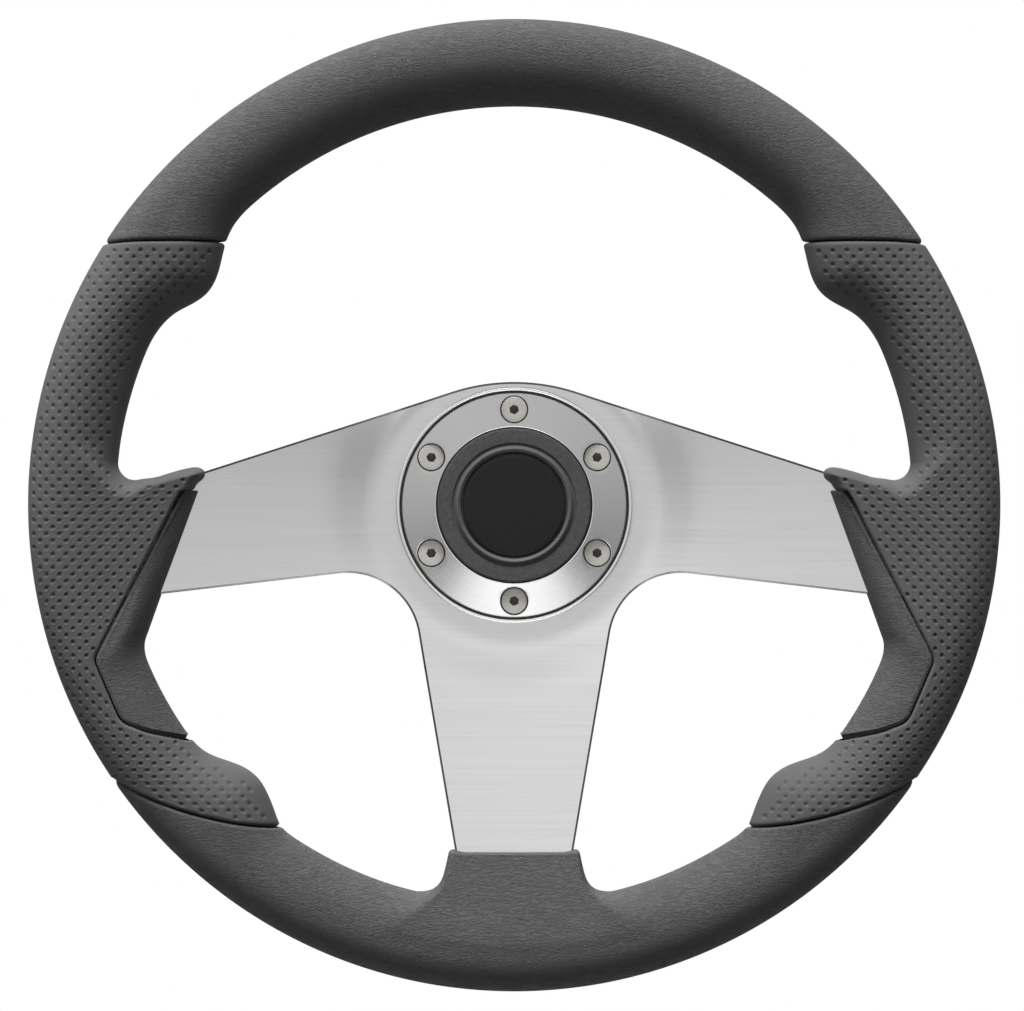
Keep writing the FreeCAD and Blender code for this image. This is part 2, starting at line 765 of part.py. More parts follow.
def rounded_wire(corners):
    """A closed wire through corners (point, radius); radius 0 keeps a corner sharp."""
    edges = []
    ends = []
    count = len(corners)
    for i, (corner, radius) in enumerate(corners):
        back = (corners[i - 1][0] - corner).normalize()
        on = (corners[(i + 1) % count][0] - corner).normalize()
        if radius == 0:
            ends.append((corner, corner))
            continue
        half = math.acos(back.dot(on)) / 2
        reach = radius / math.tan(half)
        crown = corner + (back + on).normalize() * (radius / math.sin(half) - radius)
        ends.append((corner + back * reach, corner + on * reach))
        edges.append(Part.Arc(ends[-1][0], crown, ends[-1][1]).toShape())
    for i in range(count):
        edges.append(Part.LineSegment(ends[i][1], ends[(i + 1) % count][0]).toShape())
    return Part.Wire(Part.__sortEdges__(edges))


def sloped_block(wire, across, up, inner, edge_round):
    """A block on the wire whose front slopes back towards the hub, edges rounded.

    across and up point away from the hub. Edges farther out than inner stay sharp,
    because they lie inside the rim.
    """
    block = upright(Part.Face(wire))
    outward = Vector(across, up, 0)
    crest = size("wheel_diameter") / 2 - size("rim_width") / 2 - 1
    slope = math.radians(size("web_slope"))
    level = size("rim_height") + size("rim_depth") / 2 - 0.8
    far = size("wheel_diameter")
    cutter = Part.makeBox(far, far, far, Vector(-far / 2, -far / 2, 0))
    tilt = FreeCAD.Rotation(Vector(0, 0, 1).cross(outward), -math.degrees(slope))
    cutter.Placement = FreeCAD.Placement(outward * crest + Vector(0, 0, level), tilt)
    block = block.cut(cutter)
    floor = Part.makeBox(far, far, far, Vector(-far / 2, -far / 2, size("rim_height") - size("rim_depth") / 2 + 1 - far))
    block = block.cut(floor)
    rounded = []
    for edge in block.Edges:
        middle = edge.valueAt((edge.FirstParameter + edge.LastParameter) / 2)
        first, last = edge.Vertexes[0].Point, edge.Vertexes[-1].Point
        if math.hypot(first.x - last.x, first.y - last.y) < 0.01:
            continue
        if math.hypot(middle.x, middle.y) < inner:
            rounded.append(edge)
    return block.makeFillet(edge_round, rounded)


def horn_tip():
    """The rim's inner radius, and the corner where the horn ends over the arm's edge."""
    inner = size("wheel_diameter") / 2 - size("rim_width")
    tip = inner - size("horn_reach")
    return inner, tip, worked_out(arm_top("%.6f" % tip)) + size("horn_cover")


def side_web():
    """The right-hand grip's cover over the arm's end, with the horn above it."""
    inner, tip, top = horn_tip()
    knee = inner - size("web_foot_reach")
    foot = worked_out(arm_low("%.6f" % knee)) - size("web_foot_drop")
    hidden = inner + size("rim_width") * 0.45
    wire = rounded_wire([
        (Vector(hidden, top + 3, 0), 0),
        (Vector(inner - 0.6, top + 3, 0), 0),
        (Vector(inner - 0.6, top - size("horn_root_drop"), 0), size("horn_root_round")),
        (Vector(tip, top, 0), size("horn_tip_round")),
        (Vector(tip + size("horn_lean"), top - size("horn_depth"), 0), size("horn_tip_round")),
        (Vector(knee, foot, 0), 0),
        (Vector(hidden, foot - 4, 0), 0),
    ])
    return sloped_block(wire, 1, 0, inner + 3, size("web_edge_round"))


def foot_pad():
    """The bottom grip's pad over the lower arm's end."""
    inner = size("wheel_diameter") / 2 - size("rim_width")
    root = -inner + size("pad_root_rise")
    wide = worked_out(foot_half("%.6f" % (inner - size("pad_reach")))) + size("pad_cover")
    flared = wide + size("pad_flare")
    right = [
        (Vector(flared + 6.5, -inner - 8, 0), 0),
        (Vector(flared + 6.5, root, 0), 0),
        (Vector(flared, root, 0), size("pad_root_round")),
        (Vector(wide, -inner + size("pad_reach"), 0), size("pad_corner_round")),
    ]
    left = [(mirrored(point), radius) for point, radius in reversed(right)]
    return sloped_block(rounded_wire(right + left), 0, -1, inner - 1, size("pad_edge_round"))


def insert_region(margin):
    """The space of the thumb insert below the right arm, grown by a margin."""
    inner, tip, top = horn_tip()
    level = top - size("insert_top_drop")
    depth = inner + size("insert_depth")
    wire = rounded_wire([
        (Vector(inner - 60, level + 0.2, 0), 0),
        (Vector(inner - size("insert_top_reach"), level - 0.4, 0), 1.5),
        (polar(depth, -20.3), 4.0),
        (polar(depth, -28.9), 7.0),
        (polar(inner + 0.3, -35.8), 0),
        (polar(inner - 40, -41.0), 0),
    ])
    return upright(Part.Face(wire).makeOffset2D(margin, 2))


def make_grips(inside):
    """The four grips and two inserts, moulded round what is inside the rim."""
    half_gap = size("seam_gap") / 2
    top_seam = seam_points(size("top_seam_outside"), size("top_seam_inside"))
    bottom_seam = seam_points(size("bottom_seam_outside"), size("bottom_seam_inside"))
    whole = rim_stations(90.0, -90.0)

    upper = rim_solid([station for station in whole if station[0] > 26])
    top = upper.common(region(top_seam, 1, half_gap))
    top = top.fuse(top.mirror(Vector(0, 0, 0), Vector(1, 0, 0))).removeSplitter()

    lower = rim_solid([station for station in whole if station[0] < -30])
    bottom = lower.common(region(bottom_seam, -1, -half_gap))
    bottom = bottom.fuse(bottom.mirror(Vector(0, 0, 0), Vector(1, 0, 0)))
    bottom = bottom.fuse(foot_pad()).removeSplitter()

    side = rim_solid([station for station in whole if -70 < station[0] < 58])
    side = side.cut(region(top_seam, 1, -half_gap)).cut(region(bottom_seam, -1, half_gap))
    side = side.fuse(side_web())
    right = side.cut(insert_region(half_gap))
    insert = side.common(insert_region(-half_gap))

    pieces = {"top_grip": top, "bottom_grip": bottom, "right_grip": right, "right_insert": insert}
    made = []
    for label, shape in pieces.items():
        shape = shape.cut(inside)
        made.append(add_solid(label, shape))
        if label.startswith("right"):
            made.append(add_solid(label.replace("right", "left"), shape.mirror(Vector(0, 0, 0), Vector(1, 0, 0))))
    return made


def add_solid(label, shape):
    node = doc.addObject("Part::Feature", label)
    node.Label = label
    solids = sorted(shape.Solids, key=lambda solid: -solid.Volume)
    node.Shape = solids[0] if len(solids) == 1 else Part.makeCompound(solids)
    return node


plate = make_plate()
core = make_core()
rivets = make_rivets()
o_ring, o_ring_level = make_o_ring()
nodes = [plate, make_hub(), make_shroud(), make_clamp_ring(), make_screws(), make_cap(), make_disc(),
         o_ring, core, rivets]
nodes += make_grips(plate.Shape.fuse([core.Shape] + rivets.Shape.Solids))

# Stand the wheel up: its front faces -Y
stand = FreeCAD.Placement(Vector(0, 0, 0), FreeCAD.Rotation(Vector(1, 0, 0), 90))
for node in nodes:
    node.Placement = stand
o_ring.Placement = stand.multiply(FreeCAD.Placement(Vector(0, 0, o_ring_level), FreeCAD.Rotation()))
doc.recompute()

for item in doc.Objects:
    if "Invalid" in item.State or "Error" in item.State:
        raise RuntimeError("%s did not build" % item.Name)
for node in nodes:
    if node.Shape.isNull() or not node.Shape.isValid() or node.Shape.Volume <= 0:
        raise RuntimeError("%s has no valid shape" % node.Label)

os.makedirs("parts", exist_ok=True)
for node in nodes:
    node.Shape.exportStep("parts/%s.step" % node.Label)
    print("%-14s %d solid(s) %10.1f mm3" % (node.Label, len(node.Shape.Solids), node.Shape.Volume))
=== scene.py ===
import math

import bmesh
import bpy
import numpy as np
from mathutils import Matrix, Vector
from mathutils.kdtree import KDTree


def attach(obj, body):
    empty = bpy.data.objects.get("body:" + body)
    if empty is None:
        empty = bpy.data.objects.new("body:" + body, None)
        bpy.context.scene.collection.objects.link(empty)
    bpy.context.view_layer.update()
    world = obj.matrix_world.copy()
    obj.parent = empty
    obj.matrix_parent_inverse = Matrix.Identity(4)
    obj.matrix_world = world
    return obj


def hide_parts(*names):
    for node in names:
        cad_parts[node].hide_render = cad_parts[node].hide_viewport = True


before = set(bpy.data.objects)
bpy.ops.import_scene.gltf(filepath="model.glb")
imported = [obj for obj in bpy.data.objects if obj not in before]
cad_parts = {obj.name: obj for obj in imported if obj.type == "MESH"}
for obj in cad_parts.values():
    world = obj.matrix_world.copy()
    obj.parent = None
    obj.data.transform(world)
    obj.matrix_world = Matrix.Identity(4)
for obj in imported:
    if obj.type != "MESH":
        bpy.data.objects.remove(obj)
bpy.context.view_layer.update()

# Boat steering wheel. Lengths are in millimetres as the helmsman sees the wheel:
# x to the right, y up, z out of the hub's back face towards the viewer.

PICTURE_WIDE = 1024     # pixels of the photo, for the lens
PIXEL = 0.36064         # and the size of one in the wheel's middle plane

RIM_OUT = 175.0
RIM_IN = 144.0
RIM_MID = 75.0          # height of the rim's middle plane
RIM_HALF = 14.0         # half of its depth
RIM_LEAN = 2.8          # the front's crest lies this far out from the middle radius, the back's as far in
RIM_WIDE = (RIM_OUT - RIM_IN) / 2
RIM_CENTRE = (RIM_OUT + RIM_IN) / 2
LEAN_TURN = math.asin(RIM_LEAN / RIM_WIDE)
FRONT_CREST = RIM_CENTRE + RIM_LEAN
BACK_CREST = RIM_CENTRE - RIM_LEAN
FLANK = 158.5           # inside this radius the front slopes down towards the arms
WAIST = 72.5            # height at which front and back meet along the inner outline
WAIST_DROP = 2.0        # and how much lower that is beside the web and the pad

RIM_EDGE = 0.32         # how far each grip stops short of a seam across the rim
SEAM_EDGE = 0.12        # and short of the seam round an insert
SEAM_ROUND = 1.3        # radius of the edges along the seams
BOW_REACH = 28.0        # how far a seam's curve still bends the rows of the plan
WALL_COUNT = 12         # points down the wall along an insert's seam

DIMPLE_START = (150.4, 16.2)    # place of one dimple; the others are in steps from it
DIMPLE_STEP = 4.84              # along a row
DIMPLE_ROW = 2.414              # from row to row
DIMPLE_RADIUS = 0.88
DIMPLE_DEEP = 0.65
DIMPLE_LIP = 0.06               # height of the raised lip round a dimple

SCREW_COUNT = 6
SCREW_CIRCLE = 35.0     # radius of the circle that the screws are on
PLATE_THICK = 4.0
PLATE_BORE = 24.2       # radius of the plate's opening
RING_TOP = 57.0         # height of the clamp ring's inner edge
SCREW_TOP = 54.1        # and of the screws' heads


# Plane curves


def polar(radius, angle):
    turn = np.radians(angle)
    return np.stack([radius * np.cos(turn), radius * np.sin(turn)], -1)


def rim_arc(start, stop, radius=RIM_IN):
    count = max(2, int(abs(start - stop) * math.pi / 180 * radius / 0.4))
    return polar(radius, np.linspace(start, stop, count))


def arc(centre, radius, start, stop):
    count = max(6, int(abs(start - stop) / 4))
    return np.array(centre) + polar(radius, np.linspace(start, stop, count))


def spline(points, first, last, step=0.4):
    """A smooth curve through the points, with given directions at its ends."""
    p = np.array(points, float)
    h = np.linalg.norm(np.diff(p, axis=0), axis=1)
    n = len(p)
    a = np.zeros((n, n))
    b = np.zeros((n, 2))
    for i in range(1, n - 1):
        a[i, i - 1] = 1 / h[i - 1]
        a[i, i] = 2 / h[i - 1] + 2 / h[i]
        a[i, i + 1] = 1 / h[i]
        b[i] = 3 * (p[i] - p[i - 1]) / h[i - 1] ** 2 + 3 * (p[i + 1] - p[i]) / h[i] ** 2
    a[0, 0] = a[-1, -1] = 1
    b[0], b[-1] = first, last
    m = np.linalg.solve(a, b)
    out = []
    for i in range(n - 1):
        k = max(2, int(h[i] / step))
        s = np.arange(k)[:, None] / k
        out.append((1 + 2 * s) * (1 - s) ** 2 * p[i] + s * (1 - s) ** 2 * h[i] * m[i]
                   + s * s * (3 - 2 * s) * p[i + 1] + s * s * (s - 1) * h[i] * m[i + 1])
    out.append(p[-1:])
    return np.concatenate(out)


def rounded(corners, closed=False):
    """A line through corners (x, y, radius), each rounded by its radius."""
    pts = [np.array(c[:2], float) for c in corners]
    out = []
    n = len(corners)
    for i, c in enumerate(corners):
        radius = c[2] if len(c) > 2 else 0
        if radius <= 0 or (not closed and i in (0, n - 1)):
            out.append(pts[i][None])
            continue
        back = pts[i - 1] - pts[i]
        on = pts[(i + 1) % n] - pts[i]
        back /= np.linalg.norm(back)
        on /= np.linalg.norm(on)
        half = math.acos(float(np.clip(back @ on, -1, 1))) / 2
        reach = radius / math.tan(half)
        middle = back + on
        middle /= np.linalg.norm(middle)
        centre = pts[i] + middle * radius / math.sin(half)
        a = pts[i] + back * reach - centre
        b = pts[i] + on * reach - centre
        a0 = math.atan2(a[1], a[0])
        turn = (math.atan2(b[1], b[0]) - a0 + math.pi) % (2 * math.pi) - math.pi
        k = max(4, int(abs(turn) / math.radians(7)), int(abs(turn) * radius / 1.3))
        angles = [a0 + turn * j / k for j in range(k + 1)]
        out.append(centre + radius * np.array([[math.cos(angle), math.sin(angle)] for angle in angles]))
    return np.concatenate(out)


def along(path):
    """Distance from the path's start to each of its points."""
    return np.concatenate([[0], np.cumsum(np.linalg.norm(np.diff(path, axis=0), axis=1))])


def at(path, distance):
    """The path's points at given distances from its start."""
    s = along(path)
    return np.stack([np.interp(distance, s, path[:, 0]), np.interp(distance, s, path[:, 1])], -1)


def sampled(path, step):
    """The path with points evenly spread along it, about a step apart."""
    length = along(path)[-1]
    return at(path, np.linspace(0, length, max(2, int(length / step))))


def nearest(path, point):
    """Number of the path's point that is nearest to a place."""
    return int(np.argmin(np.linalg.norm(path - np.array(point), axis=1)))


def tree_of(points):
    """A search tree of points in the plane."""
    tree = KDTree(len(points))
    for i, (x, y) in enumerate(points):
        tree.insert((x, y, 0), i)
    tree.balance()
    return tree


def distance_to(path, points):
    """Distance of each point to the path."""
    tree = tree_of(path)
    flat = points.reshape(-1, 2)
    found = np.array([tree.find((x, y, 0))[1] for x, y in flat])
    best = np.full(len(flat), 1e9)
    for shift in (-1, 0):
        i = np.clip(found + shift, 0, len(path) - 2)
        a = path[i]
        d = path[i + 1] - a
        t = np.clip(((flat - a) * d).sum(1) / np.maximum((d * d).sum(1), 1e-12), 0, 1)
        best = np.minimum(best, np.linalg.norm(flat - a - d * t[:, None], axis=1))
    return best.reshape(points.shape[:-1])


def distance_to_any(paths, points):
    return np.min([distance_to(path, points) for path in paths], axis=0)


# The rim's inner outline, right half, from the top down, and its seams


def inner_outline():
    top = rim_arc(90, 49.5)
    rest = spline([polar(RIM_IN, 49.5), (102.3, 99.3), (104.9, 92.0), (106.9, 84.0), (110.6, 77.0),
                   (116.0, 72.9), (122.5, 69.3), (128.0, 64.0), polar(RIM_IN, 22.5)],
                  polar(1, 49.5 - 90), polar(1, 22.5 - 90))
    side = rim_arc(22.5, 6.28)
    root = arc((137.2, 15.1), 6.0, 6.28, -103.6)
    horn = spline([(135.79, 9.27), (129.7, 10.15), (125.3, 11.45), (120.8, 12.75), (116.6, 13.65),
                   (113.6, 13.5), (111.95, 12.1), (112.0, 10.5), (112.9, 9.2), (114.3, 8.1), (115.4, 6.4)],
                  np.array([-0.97, 0.23]), np.array([0.3, -0.95]), 0.15)
    insert = rounded([(115.4, 6.4), (115.75, 5.35, 0.2), (114.3, 5.4, 0.5), (133.2, -48.1)])
    bend = spline([(133.2, -48.1), (133.65, -50.9), polar(RIM_IN, -23.2)],
                  np.array([19.1, -53.8]) / 57.1, polar(1, -23.2 - 90))
    low = rim_arc(-23.2, -34.5)
    rest_low = spline([polar(RIM_IN, -34.5), (111.6, -88.9), (104.0, -92.1), (96.6, -95.2), (91.9, -99.3),
                       (89.0, -104.3), (86.6, -110.2), (83.9, -116.2), polar(RIM_IN, -57)],
                      polar(1, -34.5 - 90), polar(1, -57 - 90))
    bottom = rim_arc(-57, -75.5)
    root_low = spline([polar(RIM_IN, -75.5), (32.4, -139.55), (29.9, -139.0), (28.0, -137.8),
                       (26.4, -135.6), (25.3, -132.6), (24.55, -129.4), (23.95, -126.6)],
                      polar(1, -75.5 - 90), polar(1, 102), 0.2)
    pad = rounded([root_low[-1], (23.4, -124.2, 1.6), (18.0, -125.3, 6), (0.0, -125.4)])
    parts = [top, rest, side, root, horn, insert, bend, low, rest_low, bottom, root_low]
    return sampled(np.concatenate([part[:-1] for part in parts] + [pad]), 0.12)


OUTLINE = inner_outline()


# seams across the rim: angle at its outer edge, angle at its inner edge, and sag
TOP_SEAM = (32.65, 41.1, 1.0)
LOW_SEAM = (-34.4, -53.3, 0.0)
SEAM_POINTS = 60


def seam_across(outside, inside, sag, shift):
    """A seam from the inner outline to the outer edge, shifted upwards."""
    radii = np.linspace(RIM_IN - 14, RIM_OUT, 900)
    share = (RIM_OUT - radii) / (RIM_OUT - RIM_IN)
    line = polar(radii, outside + (inside - outside) * share)
    line[:, 1] += shift - 4 * sag * share * (1 - share)
    part = line[distance_to(OUTLINE, line[:500]).argmin():]
    part = part[np.linalg.norm(part, axis=1) <= RIM_OUT]
    return at(part, np.linspace(0, along(part)[-1], SEAM_POINTS))


# round an insert, as the grip and as the insert have it: the insert's starts higher, behind the horn
INSERT_SEAM = [(150.3, -55.3, 5.0), (140.6, -77.6, 7.0), (131.0, -81.2, 30), (116.9, -84.2)]
GRIP_SEAM_LINE = rounded([(115.7, 5.3), (119.8, 4.8, 1.8)] + INSERT_SEAM)
INSERT_SEAM_LINE = rounded([(115.45, 6.05), (119.6, 5.2, 2.1)] + INSERT_SEAM)


def shifted(path, by):
    """The path moved sideways, to its left where by is positive."""
    d = np.gradient(path, axis=0)
    d /= np.linalg.norm(d, axis=1)[:, None] + 1e-12
    return path + np.stack([-d[:, 1], d[:, 0]], -1) * by


# Heights of the rim's skin


def ease(low, high, value):
    """From 0 at low to 1 at high, smoothly."""
    t = np.clip((value - low) / (high - low), 0, 1)
    return t * t * (3 - 2 * t)


def swell(d, width):
    """From 0 at the outline to 1 a width further in, as a quarter of an ellipse."""
    return np.sqrt(np.clip(1 - (1 - np.clip(d / width, 0, 1)) ** 2, 0, 1))


def rim_faces(points):
    """Front and back height of the skin over each point of the plan."""
    x, y = points[..., 0], points[..., 1]
    r = np.hypot(x, y)
    d = distance_to(OUTLINE, points)
    rho = np.clip((r - RIM_CENTRE) / RIM_WIDE, -1, 1)
    front_out = RIM_MID + RIM_HALF * np.sin(LEAN_TURN + np.arccos(rho))
    back_out = RIM_MID + RIM_HALF * np.sin(LEAN_TURN - np.arccos(rho))
    # shares of the web, which joins the rim to a side arm, and of the pad over the foot's end
    web = ease(24, 9, y) * ease(-66, -44, y)
    pad = ease(52, 26, np.abs(x)) * ease(-95, -112, y)
    flat = np.maximum(web, pad)
    inward = np.sqrt(np.clip(FLANK - r, 0, None) ** 2 + 9) - 3
    slope = 0.222 * web + 0.36 * pad + 0.05 * (1 - flat)
    front_top = np.where(r > FRONT_CREST, front_out, RIM_MID + RIM_HALF - slope * inward)
    back_top = np.where(r > BACK_CREST, back_out,
                        RIM_MID - RIM_HALF + flat * ease(BACK_CREST, BACK_CREST - 9, r))
    # how far in from the outline the skin still curves
    web_wide = 7.5 - 4.1 * ease(0, 7, y) * ease(142, 130, r)
    pad_wide = 0.3 + 1.1 * ease(19, 25, np.abs(x))
    front_wide = (FRONT_CREST - RIM_IN) * (1 - flat) + web_wide * web + pad_wide * pad
    back_wide = (BACK_CREST - RIM_IN) * (1 - flat) + 4.0 * web + 2.0 * pad
    waist = WAIST - WAIST_DROP * flat
    front = waist + (front_top - waist) * swell(d, front_wide)
    back = waist - (waist - back_top) * swell(d, back_wide)
    return front, back


# Meshes


def to_frame(points):
    """From the drawing's millimetres to the row's metres."""
    p = np.asarray(points, float)
    return np.stack([p[..., 0], -p[..., 2], p[..., 1]], -1) / 1000


def add_piece(name, points, faces, material, node, slot, sharp, weld=False):
    """A visible piece in place of a CAD node; edges sharper than an angle stay sharp."""
    mesh = bpy.data.meshes.new(name)
    mesh.from_pydata(to_frame(points).tolist(), [], [list(map(int, f)) for f in faces])
    if weld:
        b = bmesh.new()
        b.from_mesh(mesh)
        bmesh.ops.remove_doubles(b, verts=b.verts, dist=2e-6)
        bmesh.ops.recalc_face_normals(b, faces=b.faces)
        b.to_mesh(mesh)
        b.free()
    mesh.validate()
    mesh.shade_smooth()
    mesh.set_sharp_from_angle(angle=math.radians(sharp))
    obj = bpy.data.objects.new(name, mesh)
    bpy.context.scene.collection.objects.link(obj)
    mesh.materials.append(material)
    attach(obj, "root")
    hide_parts(node)
    return obj


def grid_faces(rows, columns, start=0):
    """Quads over a grid of rows by columns, the last column joined to the first."""
    i = np.arange(rows - 1)[:, None]
    j = np.arange(columns)[None]
    a = start + i * columns + j
    b = start + i * columns + (j + 1) % columns
    c = start + (i + 1) * columns + (j + 1) % columns
    d = start + (i + 1) * columns + j
    return np.stack([a, b, c, d], -1).reshape(-1, 4)


def grid_normals(p):
    """Normals of a grid of closed sections."""
    down = np.gradient(p, axis=0)
    across = (np.roll(p, -1, 1) - np.roll(p, 1, 1)) / 2
    n = np.cross(down, across)
    return n / (np.linalg.norm(n, axis=-1, keepdims=True) + 1e-12)


def closing_faces(rows, columns):
    """Quads from a grid's last row back to its first."""
    last = (rows - 1) * columns
    return [(last + i, last + (i + 1) % columns, (i + 1) % columns, i) for i in range(columns)]


def spread(count, mix):
    """Places from 0 to 1, the more crowded at both ends the larger the mix."""
    t = np.linspace(0, 1, count)
    return (1 - mix) * t + mix * (1 - np.cos(np.pi * t)) / 2


def end_crowded(length, step):
    """Places along a length, crowded at both ends where the edge is rounded."""
    fine = np.array([0.0, 0.06, 0.16, 0.3, 0.48, 0.7, 1.0])
    count = max(2, int((length - 2 * fine[-1]) / step))
    middle = np.linspace(fine[-1], length - fine[-1], count)[1:-1]
    return np.concatenate([fine, middle, length - fine[::-1]])


def plan(inner, outer, keys, step, across, mix, bows):
    """Points of the plan: stations from the inner path to the outer one, paired by keys.

    A key is a place on each path, with how far the station between them rises in its middle.
    The bows are the seams that the first and the last station follow."""
    keys = [(inner[0], outer[0])] + keys + [(inner[-1], outer[-1])]
    s_in, s_out = along(inner), along(outer)
    k_in = np.array([s_in[nearest(inner, key[0])] for key in keys])
    k_out = np.array([s_out[nearest(outer, key[1])] for key in keys])
    rises = np.array([key[2] if len(key) > 2 else 0.0 for key in keys])
    fine = np.linspace(0, 1, 6000)
    base = np.linspace(0, 1, len(keys))
    gone_in, gone_out = np.interp(fine, base, k_in), np.interp(fine, base, k_out)
    length = np.concatenate([[0], np.cumsum(np.maximum(np.diff(gone_in), np.diff(gone_out)))])
    places = end_crowded(length[-1], step)
    f = np.interp(places, length, fine)
    a = at(inner, np.interp(f, base, k_in))
    b = at(outer, np.interp(f, base, k_out))
    u = spread(across, mix)[None, :, None]
    p = a[:, None] * (1 - u) + b[:, None] * u
    p[..., 1] += 2 * (u * (1 - u))[..., 0] * np.interp(f, base, rises)[:, None]
    for bow, reach in zip(bows, (places, length[-1] - places)):
        if bow is None:
            continue
        s = along(bow) / along(bow)[-1]
        line = np.stack([np.interp(u[0, :, 0], s, bow[:, i]) for i in (0, 1)], -1)
        chord = line[0] * (1 - u[0]) + line[-1] * u[0]
        fade = np.clip(1 - reach / BOW_REACH, 0, 1) ** 1.5
        p = p + (line - chord)[None] * fade[:, None, None]
    return p


def unfolded(p, inner_points, rounds=240):
    """The plan evened out between four places along its inner edge, so that no cell is turned over."""
    first, full, last, end = [nearest(p[:, 0], q) for q in inner_points]
    rows, columns = np.arange(p.shape[0]), np.arange(p.shape[1])
    by_row = ease(first, full, rows) * (1 - ease(last, end, rows))
    weight = by_row[:, None] * (1 - ease(70, 100, columns))[None]
    weight = weight[1:-1, 1:-1, None]
    q = p.copy()
    for _ in range(rounds):
        down = (q[2:, 1:-1] - q[:-2, 1:-1]) / 2
        out = (q[1:-1, 2:] - q[1:-1, :-2]) / 2
        a = (out * out).sum(-1, keepdims=True)
        b = (down * out).sum(-1, keepdims=True)
        c = (down * down).sum(-1, keepdims=True)
        along_rows = q[2:, 1:-1] + q[:-2, 1:-1]
        along_columns = q[1:-1, 2:] + q[1:-1, :-2]
        cross = q[2:, 2:] - q[2:, :-2] - q[:-2, 2:] + q[:-2, :-2]
        even = (a * along_rows + c * along_columns - b * cross / 2) / (2 * (a + c))
        q[1:-1, 1:-1] += weight * (even - q[1:-1, 1:-1])
    return q


def wall(edge, start_z, end_z, places):
    """Columns of points on a wall that stands on an edge of the plan."""
    z = start_z[:, None] * (1 - places) + end_z[:, None] * places
    return np.dstack([np.repeat(edge[:, None], len(places), 1), z])


def dimple_depth(points, dimples):
    """How deep each point lies in a dimple; its raised lip counts as less than nothing."""
    tree = tree_of(dimples)
    flat = points.reshape(-1, 2)
    far = np.array([tree.find((x, y, 0))[2] for x, y in flat]).reshape(points.shape[:-1])
    pit = np.clip(1 - (far / DIMPLE_RADIUS) ** 2, 0, 1) ** 0.95
    lip = np.exp(-((far - 1.1) / 0.3) ** 2) * DIMPLE_LIP
    return DIMPLE_DEEP * pit - lip


def tube(plan_points, back_count, seams, dimples, sunk):
    """A closed skin over a plan: front, then back, with its seams' edges rounded.

    Dimples are places in the plan, or None; sunk gives how far the front lies lower, or is None."""
    front, back = rim_faces(plan_points)
    if sunk is not None:
        front = front - sunk(plan_points)
    rows, across = front.shape
    pick = np.linspace(0, across - 1, back_count).astype(int)
    near_edges = [1, 2, 4, across - 2, across - 3, across - 5]
    crowd = np.unique(np.concatenate([pick, near_edges]))
    crowd = crowd[(crowd > 0) & (crowd < across - 1)][::-1]
    places = np.linspace(0, 1, WALL_COUNT)
    columns = [np.dstack([plan_points, front])]
    if (front[:, -1] - back[:, -1]).max() > 0.5:
        columns.append(wall(plan_points[:, -1], front[:, -1], back[:, -1], places[1:]))
    columns.append(np.dstack([plan_points[:, crowd], back[:, crowd]]))
    if (front[:, 0] - back[:, 0]).max() > 0.5:
        columns.append(wall(plan_points[:, 0], back[:, 0], front[:, 0], places[:-1]))
    p = np.concatenate(columns, 1)
    n = grid_normals(p)
    if n[rows // 2, across // 2, 2] < 0:
        n = -n
    # the rows at both ends move as the next ones do, so that the end faces stay plane
    n[:2], n[-2:] = n[2], n[-3]
    t = np.clip(distance_to_any(seams, p[..., :2]) / SEAM_ROUND, 0, 1)
    depth = SEAM_ROUND * (1 - np.sqrt(1 - (1 - t) ** 2))
    if dimples is not None:
        depth[:, :across] += dimple_depth(p[:, :across, :2], dimples)
    return p - n * depth[..., None]


def capped(p):
    """Vertices and faces of a closed tube of sections, its two ends shut."""
    rows, columns = p.shape[:2]
    verts = p.reshape(-1, 3)
    faces = [tuple(f) for f in grid_faces(rows, columns)]
    for row, flip in ((0, False), (rows - 1, True)):
        centre = len(verts)
        verts = np.concatenate([verts, p[row].mean(0)[None]])
        ring = row * columns + np.arange(columns)
        for a, b in zip(ring, np.roll(ring, -1)):
            faces.append((centre, a, b) if flip else (centre, b, a))
    return verts, faces


def mirrored(p):
    """The same points on the wheel's other side."""
    q = p.copy()
    q[..., 0] *= -1
    return q


# Materials


